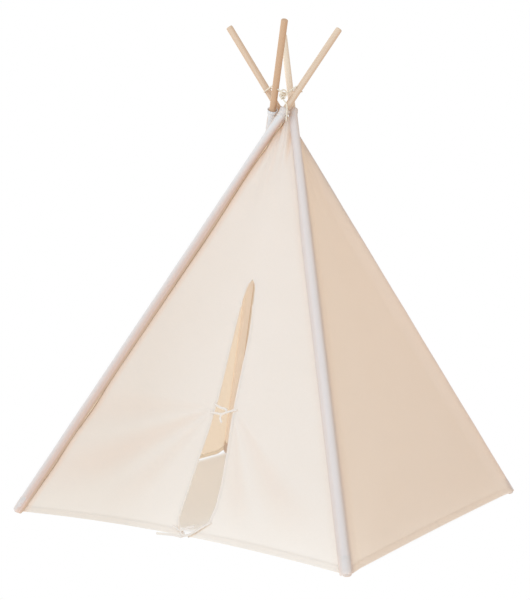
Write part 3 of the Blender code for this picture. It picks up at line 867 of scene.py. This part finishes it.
def wood_finish(name, wood, corner):
    pole = Finish(name)
    local = pole.on_pole(corner)
    lines = pole.noise(pole.stretched(local, (1 / wood.grain, 1 / wood.grain, 5.0)), 4.0, 0.62)
    streaks = pole.noise(pole.stretched(local, (70, 70, 1.6)))
    pores = pole.noise(pole.stretched(local, (2200, 2200, 60)), 1.0)
    grain = ((lines - 0.40) * 0.7 + (streaks - 0.45) * 0.5 + TONES[corner]).clamped()
    colour = pole.blend(grain, wood.light, wood.dark)
    colour = pole.blend((pores > 0.68) * 0.12, colour, wood.dark)
    bump = pole.bump(0.25, 0.0004, lines * 0.7 + pores * 0.3)
    return pole.surface(
        pole.skin(colour, 0.46 + grain * 0.16, Normal=bump, Specular_IOR_Level=0.4))


def steel_finish(name, corner):
    steel = Finish(name)
    scratches = steel.noise(steel.stretched(steel.on_pole(corner), (40, 40, 1500)), 3.0)
    colour = steel.blend(scratches, (0.46, 0.46, 0.47), (0.66, 0.66, 0.67))
    bump = steel.bump(0.2, 0.0002, scratches)
    return steel.surface(steel.skin(colour, 0.26 + scratches * 0.2, Normal=bump, Metallic=1.0))


def cord_finish(name, colour, turns):
    """Twisted cotton, with painted shade in the grooves between its strands."""
    cord = Finish(name)
    _, _, flat = cord.laid("cloth")
    twist, run, _ = cord.laid("seam")
    groove_and_shade = abs(twist - 0.5).maths("POWER", 3.0) * 6.0
    fibres = cord.noise(cord.stretched(flat, (4200, 900, 1)))
    plies = (twist * (2 * math.pi * 4) + run * turns).sine() * 0.5 + 0.5
    # Painted shade in the grooves between the strands.
    shade = groove_and_shade * 0.45 + plies * 0.10 + (fibres - 0.45) * 0.3
    painted = cord.blend(shade.clamped(), colour, darker(colour, (0.70, 0.64, 0.55)))
    bump = cord.bump(0.6, 0.0004, plies * 0.5 + fibres * 0.5 - groove_and_shade)
    return cord.surface(
        cord.skin(painted, 0.85, Normal=bump, Sheen_Weight=0.2, Specular_IOR_Level=0.2))


def tape_finish(name, colour):
    """Herringbone cotton tape with firm edges."""
    tape = Finish(name)
    across, along, flat = tape.laid("cloth")
    from_edge, _, _ = tape.laid("seam")
    ribs = ((along + abs(across)) * (2 * math.pi / 0.0011)).sine() * 0.5 + 0.5
    fibres = tape.noise(tape.stretched(flat, (2600, 700, 1)))
    firm = from_edge.bell(0.0006, 0.0005)
    shade = (1 - ribs) * 0.16 + (fibres - 0.45) * 0.35 + firm * 0.12
    painted = tape.blend(shade.clamped(), colour, darker(colour, (0.80, 0.76, 0.70)))
    bump = tape.bump(0.5, 0.0003, ribs * 0.6 + fibres * 0.5 + firm)
    return tape.surface(
        tape.skin(painted, 0.84, Normal=bump, Sheen_Weight=0.15, Specular_IOR_Level=0.2))


def floor_finish(name, colour):
    """Pale paper that goes over into a lit white sweep round the tent."""
    floor = Finish(name)
    place = floor.place()
    mottle = floor.noise(place, 3.0, scale=1.4)
    painted = floor.blend(mottle * 0.08, colour, darker(colour, (0.94, 0.94, 0.94)))
    paper = floor.skin(painted, 0.7, Specular_IOR_Level=0.1)
    lit = floor.node("ShaderNodeEmission", {}, {"Color": (1.0, 1.0, 1.0), "Strength": 1.0})
    x, y = floor.parts(place)
    outside = (x + 0.05).maths("MAXIMUM", x * -1).maths("MAXIMUM", y).maths("MAXIMUM", 0.15 - y)
    outside = ((outside - 0.57) / 0.09).clamped()
    outside = outside * outside * (3 - 2 * outside)
    return floor.surface(floor.node("ShaderNodeMixShader", {}, {
        0: outside * 0.78 + 0.22, 1: paper, 2: lit}))


FINISHES = {}


def canvas_for(name, *facts, **more):
    """The canvas of that name, made at its first use."""
    if name not in FINISHES:
        FINISHES[name] = canvas_finish(name, *facts, **more)
    return FINISHES[name]


def hem_canvas(canvas):
    return canvas_for("canvas_hem", canvas, (0.0022,), hazy=0.4, through=0.9, lined=True)


# Pieces


def declare_sheet(cloth):
    """Works out what size the cloth was cut to, and keeps it nowhere. A slanting cut counts as the triangle
    of its area.
    """
    laid = [tuple(corner.uv) for corner in cloth.data.uv_layers["cloth"].data]
    width, length = (max(spot[k] for spot in laid) - min(spot[k] for spot in laid) for k in (0, 1))
    area = sum(face.area for face in cloth.data.polygons)
    width = min(width, 2 * area / length)


def add_half(name, node, corner, spot, ends, counts, shares, finish, canvas):
    """Half a face of the cover, and the band turned in behind its lower edge. ends gives the
    band's two sides at a share of its run, and how closely it keeps to its leg there."""
    columns, rows, steps = counts
    leg = "leg_" + corner
    mesh = cloth_mesh("canvas_" + name, spot, columns, rows)
    cloth = add_piece(mesh, finish, leg, "panel_" + node, shares)
    outward = face_normal(node.split("_")[0]) * -1
    stations, spread = [], []
    for step in range(steps + 1):
        (low, high), share = ends(step / steps)
        up = (high - low).normalized()
        out = (outward - up * outward.dot(up)).normalized()
        stations.append(((low + high) / 2 - out * HEM_BEHIND, up, out))
        spread += [share] * BAND_SIDES
    mesh = band_mesh("hem_" + name, stations, HEM_DEPTH / 2, BAND_HALF)
    hem = add_piece(mesh, hem_canvas(canvas), leg, "hem_" + node, spread)
    declare_sheet(cloth)


def add_side_half(face, corner, canvas):
    """Half a side wall, from the middle of the face round the pole to the sleeve's seam."""
    across, around = 44, 14
    leaves_at = across / (across + around)
    shares = []

    def spot(a, b):
        way_out = min(1.0, a / leaves_at)
        low = hem_height(face, side_share(face, corner, way_out))
        height = mix(low + CLOTH_START, COVER_TOP, b)
        rise = (height - HEM_CLEAR) / POLES[corner][1].z
        half = face_width(face, height) / 2
        shares.append(way_out)
        if a <= leaves_at:
            point, apart = side_point(face, corner, way_out, height, b)
            run, off = -apart, apart + 0.9 * math.pi * WRAP_RADIUS
        else:
            _, _, _, leaves = wrap_frame(corner, height)
            angle = leaves * (1 - (a - leaves_at) / (1 - leaves_at))
            swell = wrap_wrinkle(corner, height, angle) * math.sin(angle)
            point = wrap_point(corner, height, angle, swell)
            point.z = max(point.z, FLOOR_CLEAR)
            run, off = (leaves - angle) * WRAP_RADIUS, angle * WRAP_RADIUS
        return point, (half + run, rise), (off, rise), (0.0, height - low)

    def ends(way_out):
        base = hem_height(face, side_share(face, corner, way_out))
        return [side_point(face, corner, way_out, base + rise, rise / (COVER_TOP - base))[0]
                for rise in HEM_RISES], way_out

    name = f"{face}_by_{corner}"
    # Painted shade by corner: the front-left sleeve gets the darkest crease, the broadest warm shade by its
    # seam and the least on its pole; the shaded right wall gets more painted warmth than the rest.
    shade_strength = {"front_left": 1.0, "front_right": 0.15}.get(corner, 0.1)
    finish = canvas_for("canvas_" + name, canvas, (0.0065,), crease=0.0042 + 0.0006 * shade_strength,
                        dark_crease=0.72 * shade_strength, blush=0.85 * shade_strength,
                        on_pole=0.26 - 0.19 * shade_strength, relief=0.3,
                        warm=0.18 if face == "right" else 0.06)
    add_half(name, face, corner, spot, ends, (across + around, 130, 60), shares, finish, canvas)


def add_back_half(corner, canvas):
    """Half the back, from the sleeve's seam to the middle."""
    first = FACES["back"][0] == corner
    shares = []

    def spot(a, b):
        low = hem_height("back", 0.5 * a)
        height = mix(low + CLOTH_START, COVER_TOP, b)
        start = sewn_start(corner, height)
        way_in = mix(start, 0.5, a)
        apart = (way_in - start) * face_width("back", height)
        rise = height / POLES[corner][1].z
        shares.append(1 - a)
        point = wall_point("back", way_in if first else 1 - way_in, height, b, seam_dip(apart))
        return point, (apart, rise), (apart, rise), (0.0, height - low)

    def ends(way_in):
        share = mix(sewn_start(corner, HEM_DEPTH), 0.5, way_in)
        share = share if first else 1 - share
        base = hem_height("back", share)
        return [wall_point("back", share, base + rise, rise / (COVER_TOP - base))
                for rise in HEM_RISES], 1 - way_in

    # Painted shade in the crease by each seam.
    finish = canvas_for("canvas_back", canvas, (0.0045,), crease=0.0045, relief=0.3)
    add_half("back_by_" + corner, "back", corner, spot, ends, (46, 130, 60), shares, finish,
             canvas)


def front_height(share, guide, level):
    """The hem's arch lifts the cloth near it, and fades upward."""
    return guide + (hem_height("front", share) - door_base()) * (1 - level)


def add_front_half(word, canvas):
    """Half the front, from the sleeve's seam to the front's seam, the slit or the flap's fold."""
    side = SIDES[word]
    name = "front_" + word
    pole_share = (1 + side) / 2
    shares = []

    def sewn_share(height):
        return pole_share - side * sewn_start(name, height)

    def from_pole(share, height):
        return (share - pole_share) / (front_edge(side, height) - pole_share)

    def spot(a, b):
        guide = mix(door_base() + CLOTH_START, COVER_TOP, b)
        share = mix(sewn_share(guide), front_edge(side, guide), a)
        height = front_height(share, guide, b)
        start = sewn_share(height)
        share = mix(start, front_edge(side, height), a)
        inward = from_pole(share, height)
        apart = abs(share - start) * face_width("front", height)
        x = x_at(share, height)
        dip, furrow = tie_folds(side, x, height, 1.0), valleys(x, height)
        near_door = 1 - ease((a - 0.75) / 0.25) * (1 - ease((height - DOOR_TOP) / 0.1))
        hang = SAG * 4 * (inward * (1 - inward)) ** 2 * math.sin(math.pi * b)
        hang += dip * canvas.fold_depth + furrow
        hang += slack("front", share, height) * near_door
        hang += seam_dip(apart)
        rise = height / POLES[name][1].z
        shares.append(1 - a)
        point = face_point("front", share, height, flat=inward * (2 - inward), hang=hang)
        # deep sets the painted warm shade of the tie's folds and the valleys.
        deep = 0.5 * dip + furrow / VALLEYS[0][2]
        return point, (x, rise), (apart, rise), (deep, height - hem_height("front", share))

    def ends(way_in):
        start = sewn_share(HEM_DEPTH)
        base = hem_height("front", mix(start, front_edge(side, door_base()), way_in))
        found = []
        for height in (base + rise for rise in HEM_RISES):
            share = mix(start, front_edge(side, height), way_in)
            inward = from_pole(share, height)
            found.append(face_point("front", share, height, flat=inward * (2 - inward)))
        return found, 1 - way_in

    # Painted shade: the left half gets a dark crease and warm shade by its seam, the right half only a
    # little of both.
    finish = canvas_for("canvas_" + name, canvas, (0.0045,), crease=0.0052,
                        dark_crease=0.9 if side < 0 else 0.12, blush=0.6 if side < 0 else 0.1,
                        relief=0.32, leftward=0.28)
    add_half(name, name, name, spot, ends, (46, 170, 50), shares, finish, canvas)


def front_outward():
    low, high = (face_point("front", 0.5, height, flat=1.0) for height in (HEM_CLEAR, DOOR_TOP))
    return Vector((1, 0, 0)).cross((high - low).normalized()).normalized()


def flap_place(side, height, from_slit, canvas):
    """A point of a flap, from the slit's edge (0) to its fold (1)."""
    fold = fold_x(side, height)
    edge = slit_x(side, height) + side * SLIT_GAP / 2
    edge = fold - side * max(FLAP_TOP_WIDTH, side * (fold - edge))
    x = mix(edge, fold, from_slit)
    hang = tie_folds(side, x, height, canvas.fold_depth)
    near_slit = from_slit * (fold - edge) * side
    hang -= 0.0012 * math.exp(-((near_slit / 0.012) ** 2)) * ease((height - 0.03) / 0.05)
    return face_point("front", share_at(x, height), height, flat=1.0, hang=hang), x


def add_flap(word, canvas):
    """Half the door with its hem and the slit's turned-in edge."""
    side = SIDES[word]
    body = "flap_" + word
    outward = front_outward()

    def lifted(guide, a, level):
        """The height of the flap's point, raised as the hem's arch is there."""
        _, x = flap_place(side, guide, a, canvas)
        return front_height(share_at(x, guide), guide, level)

    def spot(a, b):
        height = lifted(mix(door_base() + CLOTH_START, FLAP_TOP, b), a, b)
        point, x = flap_place(side, height, a, canvas)
        rise = height / POLES["front_left"][1].z
        # deep sets the painted warm shade of the tie's folds.
        deep = 0.5 * tie_folds(side, x, height, 1.0)
        over_hem = height - hem_height("front", share_at(x, height))
        return point, (x, rise), (abs(x - slit_x(side, height)), rise), (deep, over_hem)

    finish = canvas_for("canvas_flap", canvas, (0.0085,), relief=0.32, leftward=0.28)
    flap = add_piece(cloth_mesh("flap_canvas_" + word, spot, 26, 120), finish, body,
                     "door_flap_" + word)
    stations = []
    for step in range(41):
        a = mix(0.03, 1.0, step / 40)
        base = lifted(door_base(), a, 0)
        low, high = (flap_place(side, base + rise, a, canvas)[0] for rise in HEM_RISES)
        stations.append(
            ((low + high) / 2 - outward * HEM_BEHIND, (high - low).normalized(), outward))
    mesh = band_mesh("flap_hem_" + word, stations, HEM_DEPTH / 2, BAND_HALF)
    sewn = [add_piece(mesh, hem_canvas(canvas), body)]
    for name, low, high, rides_on in (
        ("flap_edge_" + word, door_base() + 0.004, FLAP_TOP, body),
        ("slit_edge_" + word, FLAP_TOP, DOOR_TOP - 0.001, "cover"),
    ):
        mesh = edge_roll(name, side, low, high, canvas)
        sewn.append(add_piece(mesh, hem_canvas(canvas), rides_on))
    declare_sheet(flap)


def edge_roll(name, side, low, high, canvas):
    """The turned-in hem along the slit's edge, behind the cloth and bent as it is."""
    outward = front_outward()
    count = max(8, round((high - low) / 0.006))
    middles = []
    for index in range(count + 1):
        height = mix(low, high, index / count)
        if height < FLAP_TOP:
            middles.append(flap_place(side, height, 0.0, canvas)[0])
        else:
            share = share_at(slit_x(side, height), height)
            middles.append(face_point("front", share, height, flat=1.0))

    def dip(point):
        return tie_folds(side, point.x, point.z, canvas.fold_depth)

    stations = []
    for index, point in enumerate(middles):
        way = middles[min(count, index + 1)] - middles[max(0, index - 1)]
        across = way.normalized().cross(outward).normalized()
        sides = [point + across * (side * off) for off in ROLL_SIDES]
        near, far = (spot - outward * (dip(spot) - dip(point)) for spot in sides)
        across = (far - near).normalized() * side
        out = (outward - across * outward.dot(across)).normalized()
        stations.append(((near + far) / 2 - out * ROLL_BEHIND, across, out))
    return band_mesh(name, stations, ROLL_HALF, BAND_HALF)


def add_sleeve(corner, canvas):
    """The tube of cloth on a pole, under the wall that wraps it, with a turned-in top."""
    way = POLES[corner][1]
    low = pole_point(corner, 0.012).z + POCKET_LENGTH * way.z
    _, seamed, outer, _ = wrap_frame(corner, low)
    round_pole = math.copysign(2 * math.pi, seamed.cross(outer).dot(way))

    def spot(a, b):
        height = mix(low, SLEEVE_TOP, b)
        angle = round_pole * a
        over = ease((height - (SLEEVE_TOP - RIM_DEPTH)) / 0.003) * RIM_SWELL
        above = ease((height - COVER_TOP + 0.02) / 0.02)
        swell = mix(-SLEEVE_UNDER, 0.0, above) + over
        swell += wrap_wrinkle(corner, height, angle) * above * (1 - b)
        swell += SLEEVE_FLARE * ease((height - SLEEVE_TOP + FLARE_DEPTH) / FLARE_DEPTH)
        from_top = (SLEEVE_TOP - height) / way.z
        place = wrap_point(corner, height, angle, swell)
        return place, (a * SLEEVE_CUT, height / way.z), (from_top, a * SLEEVE_CUT)

    back = corner.startswith("back")
    # Painted light: every sleeve gets a painted warmth; the back sleeves are painted paler and glow a little
    # below LIT_TOP, standing in for light the tent's shade keeps from them.
    finish = canvas_for("canvas_sleeve_" + corner.split("_")[0], canvas, (0.0105,), hazy=0.5,
                        through=0.32, warm=0.12, lined=back, lit=0.16 if back else 0.0)
    mesh = cloth_mesh("sleeve_cloth_" + corner, spot, 40, 160, closed=True)
    sleeve = add_piece(mesh, finish, "leg_" + corner, "sleeve_" + corner)
    solid = sleeve.modifiers.new("cloth", "SOLIDIFY")
    solid.thickness = SLEEVE_CLOTH
    solid.offset = -1.0
    declare_sheet(sleeve)


def add_foot(corner, canvas):
    """The sleeve's closed end, rounded where the pole stands in it."""
    foot, turned = POLES[corner][0], pole_frame(corner).to_3x3()
    radius, dome = 0.0148, 0.42

    def spot(a, b):
        angle = 2 * math.pi * a
        if b < dome:
            turn = math.pi / 2 * b / dome
            reach, station = radius * math.sin(turn) ** 0.8, 0.002 - 0.013 * math.cos(turn)
        else:
            station = mix(0.002, POCKET_LENGTH + 0.006, (b - dome) / (1 - dome))
            reach = radius - 0.0007 * ease((station - 0.04) / 0.01)
        bumps = Vector((math.cos(angle) * 1.3, math.sin(angle) * 1.3, station * 90))
        reach += 0.0005 * noise.noise(bumps) * min(1.0, b * 4)
        place = foot + turned @ Vector((math.cos(angle) * reach, math.sin(angle) * reach, station))
        place.z = max(place.z, FLOOR_CLEAR)
        return place, (a * SLEEVE_CUT, station), (POCKET_LENGTH - station, a * SLEEVE_CUT)

    # The feet get the same painted warmth as the sleeves.
    finish = canvas_for("canvas_foot", canvas, (0.003, 0.0085), hazy=0.5, through=0.32, warm=0.12)
    mesh = cloth_mesh("foot_cloth_" + corner, spot, 40, 34, closed=True)
    pocket = add_piece(mesh, finish, "leg_" + corner, "foot_pocket_" + corner)
    declare_sheet(pocket)


def rope_between(corner, next_corner):
    """The rope out of one pole's hole and into the next one's, slack only where it is tied."""
    out, into = hole_direction(corner), hole_direction(next_corner)
    start, end = (pole_point(one, HOLE_HEIGHT) for one in (corner, next_corner))
    clear = POLE_RADIUS + ROPE_DIAMETER
    leave, enter = start + out * clear, end - into * clear
    between = []
    if corner == KNOTTED_FROM:
        away = ((start + end) / 2).normalized()
        away.z = 0
        low = leave.lerp(enter, KNOT_SHARE) + away * ROPE_BOW
        low.z = HOLE_HEIGHT - ROPE_SLACK
        between = [leave.lerp(low, 0.5) + away * ROPE_DIAMETER, low,
                   enter - into * ROPE_DIAMETER * 2]
    return [start, start + out * clear * 0.5, leave, *between, enter, end - into * clear * 0.5]


def rope_ring():
    ring = list(CORNERS)[::-1]
    route = []
    for corner, next_corner in zip(ring, ring[1:] + ring[:1]):
        route += rope_between(corner, next_corner)
    points = smooth(route, ROPE_SPACING, closed=True)
    near = [point for point in points if point.x > 0 > point.y]
    lowest = points.index(min(near, key=lambda point: point.z))
    return points[lowest:] + points[:lowest + 1]


def add_cord(name, path, node, finish, look):
    cord = add_piece(strand_mesh(name, path, look), finish, "cover", node)
    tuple(path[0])
    run_along(path)[-1]


def settings(context):
    return context.scene.teepee


class TEEPEE_OT_rope(Operator):
    """Adds the rope through the poles, its knot, its loop and its hanging end"""

    bl_idname = "teepee.rope"
    bl_label = "Rope"

    def execute(self, context):
        look = settings(context).cord
        finish = cord_finish("rope_cotton", look.rope, 2 * math.pi / 0.004)
        ring = rope_ring()
        add_cord("rope", ring, "lashing_rope", finish, look)
        heart, upward = ring[0], Vector((0, 0, 1))
        along = (ring[1] - ring[-2]).normalized()
        outward = along.cross(upward).normalized()
        if outward.dot(heart) < 0:
            outward.negate()
        place = Matrix((along, outward, upward)).transposed()
        for name, node, route, far_end in (
            ("rope_bight", "rope_loop", ROPE_LOOP, "object"),
            ("rope_end", "rope_tail", ROPE_TAIL, "bare"),
        ):
            points = [heart + place @ Vector((a / 1000, o / 1000, u / 1000)) for a, u, o in route]
            add_cord(name, smooth(points, 0.002), node, finish, look)
        turns = []
        for step in range(KNOT_STEPS + 1):
            t = 2 * math.pi * step / KNOT_STEPS
            reach = KNOT_REACH[0] + KNOT_REACH[1] * math.cos(3 * t)
            turns.append(heart + place @ Vector((
                KNOT_WIDTH * math.sin(3 * t), reach * math.cos(2 * t), reach * math.sin(2 * t))))
        mesh = strand_mesh("rope_knot", turns, look, 20)
        add_piece(mesh, finish, "cover", "lashing_knot")
        return {"FINISHED"}


class TEEPEE_OT_ties(Operator):
    """Adds the two pairs of ties that hold the door"""

    bl_idname = "teepee.ties"
    bl_label = "Ties"

    def execute(self, context):
        finish = tape_finish("tie_cotton", settings(context).cord.tie)
        outward = front_outward()
        for name, route in TIES.items():
            path = []
            for x, height, lift in ([part / 1000 for part in point] for point in route):
                flat = face_point("front", share_at(x, height), height, flat=1.0)
                path.append(flat + outward * lift)
            path = smooth(path, 0.0018)
            mesh = tape_mesh(name + "_tape", path, outward)
            tape = add_piece(mesh, finish, "flap_" + name.rsplit("_", 1)[1], name)
            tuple(path[0])
            run_along(path)[-1]
        return {"FINISHED"}


class TEEPEE_OT_poles(Operator):
    """Finishes the wooden poles and their steel tubes"""

    bl_idname = "teepee.poles"
    bl_label = "Poles"

    def execute(self, context):
        wood = settings(context).wood
        for corner in CORNERS:
            grain = wood_finish("wood_" + corner + "_grain", wood, corner)
            steel = steel_finish("steel_" + corner + "_brushed", corner)
            for node, finish in (
                ("pole_upper_", grain), ("pole_lower_", grain), ("ferrule_", steel),
            ):
                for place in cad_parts[node + corner].material_slots:
                    place.material = finish
        return {"FINISHED"}


class TEEPEE_OT_walls(Operator):
    """Adds the side and back walls with their hems"""

    bl_idname = "teepee.walls"
    bl_label = "Walls"

    def execute(self, context):
        canvas = settings(context).canvas
        for face in ("left", "right"):
            for corner in FACES[face]:
                add_side_half(face, corner, canvas)
        for corner in FACES["back"]:
            add_back_half(corner, canvas)
        return {"FINISHED"}


class TEEPEE_OT_front(Operator):
    """Adds the two halves of the front with their hems"""

    bl_idname = "teepee.front"
    bl_label = "Front"

    def execute(self, context):
        for word in SIDES:
            add_front_half(word, settings(context).canvas)
        return {"FINISHED"}


class TEEPEE_OT_door(Operator):
    """Adds the door's two flaps and the turned-in edges of its slit"""

    bl_idname = "teepee.door"
    bl_label = "Door"

    def execute(self, context):
        for word in SIDES:
            add_flap(word, settings(context).canvas)
        return {"FINISHED"}


class TEEPEE_OT_sleeves(Operator):
    """Adds the sleeves that the poles run in and their closed feet"""

    bl_idname = "teepee.sleeves"
    bl_label = "Sleeves"

    def execute(self, context):
        for corner in CORNERS:
            add_sleeve(corner, settings(context).canvas)
            add_foot(corner, settings(context).canvas)
        return {"FINISHED"}


class TEEPEE_OT_stage(Operator):
    """Adds the floor, the soft light and the camera"""

    bl_idname = "teepee.stage"
    bl_label = "Stage"

    def execute(self, context):
        look = settings(context).stage
        scene = context.scene
        scene.view_settings.view_transform = "Standard"
        mesh = bpy.data.meshes.new("studio_floor")
        corners = [(x * FLOOR_HALF, y * FLOOR_HALF, 0) for x, y in CORNERS.values()]
        mesh.from_pydata(corners, [], [(0, 1, 2, 3)])
        floor = bpy.data.objects.new("studio_floor", mesh)
        scene.collection.objects.link(floor)
        mesh.materials.append(floor_finish("pale_floor", look.floor))

        world = bpy.data.worlds.new("studio")
        world.use_nodes = True
        nodes, links = world.node_tree.nodes, world.node_tree.links
        rays = nodes.new("ShaderNodeLightPath")
        strength = nodes.new("ShaderNodeMapRange")
        strength.inputs["To Min"].default_value = look.sky
        links.new(rays.outputs["Is Camera Ray"], strength.inputs["Value"])
        links.new(strength.outputs["Result"], nodes["Background"].inputs["Strength"])
        nodes["Background"].inputs["Color"].default_value = (1.0, 1.0, 1.0, 1.0)
        scene.world = world

        back = Vector((
            math.sin(look.azimuth) * math.cos(look.elevation),
            -math.cos(look.azimuth) * math.cos(look.elevation),
            math.sin(look.elevation),
        ))
        target = Vector((0, 0, look.middle))
        right = Vector((math.cos(look.azimuth), math.sin(look.azimuth), 0))
        up = back.cross(right)
        across = right * math.cos(look.roll) + up * math.sin(look.roll)
        upward = up * math.cos(look.roll) - right * math.sin(look.roll)
        camera = bpy.data.objects.new("camera", bpy.data.cameras.new("camera"))
        scene.collection.objects.link(camera)
        placed = Matrix((across, upward, back)).transposed().to_4x4()
        placed.translation = target + back * look.distance
        camera.matrix_world = placed
        camera.data.lens = look.lens
        camera.data.shift_x = CAMERA_SHIFT
        scene.camera = camera

        for name, place, size, power, tint in (
            ("key_light", (0.5, -4.8, 2.5), 3.0, look.key, look.tint),
            ("side_light", (-4.4, 0.6, 2.2), 2.6, look.key * 0.38, (1.0, 0.93, 0.84)),
            ("top_light", (0.2, -0.6, 4.6), 4.0, look.key * 0.12, (1.0, 0.98, 0.95)),
        ):
            light = bpy.data.lights.new(name, "AREA")
            light.size, light.energy, light.color = size, power, tint
            lamp = bpy.data.objects.new(name, light)
            lamp.location = place
            lamp.rotation_euler = (target - Vector(place)).to_track_quat("-Z", "Y").to_euler()
            scene.collection.objects.link(lamp)
        return {"FINISHED"}


class TEEPEE_PT_parts(Panel):
    """Lists the parts of the tent and their settings"""

    bl_idname = "TEEPEE_PT_parts"
    bl_label = "Kids Teepee"
    bl_space_type = "VIEW_3D"
    bl_region_type = "UI"
    bl_category = "Teepee"

    def draw(self, context):
        for part in PARTS:
            self.layout.operator(part.bl_idname)
        for group in TeepeeSettings.__annotations__:
            facts = getattr(settings(context), group)
            box = self.layout.box()
            for word in facts.__annotations__:
                box.prop(facts, word)


PARTS = (
    TEEPEE_OT_stage, TEEPEE_OT_rope, TEEPEE_OT_ties, TEEPEE_OT_poles, TEEPEE_OT_sleeves,
    TEEPEE_OT_walls, TEEPEE_OT_front, TEEPEE_OT_door,
)
CLASSES = (
    CanvasSettings, WoodSettings, CordSettings, StageSettings, TeepeeSettings,
    *PARTS, TEEPEE_PT_parts,
)


def register():
    for kind in CLASSES:
        bpy.utils.register_class(kind)
    bpy.types.Scene.teepee = PointerProperty(type=TeepeeSettings)


def unregister():
    del bpy.types.Scene.teepee
    for kind in reversed(CLASSES):
        bpy.utils.unregister_class(kind)


def main():
    register()
    for part in PARTS:
        group, word = part.bl_idname.split(".")
        getattr(getattr(bpy.ops, group), word)()


if __name__ == "__main__":
    main()
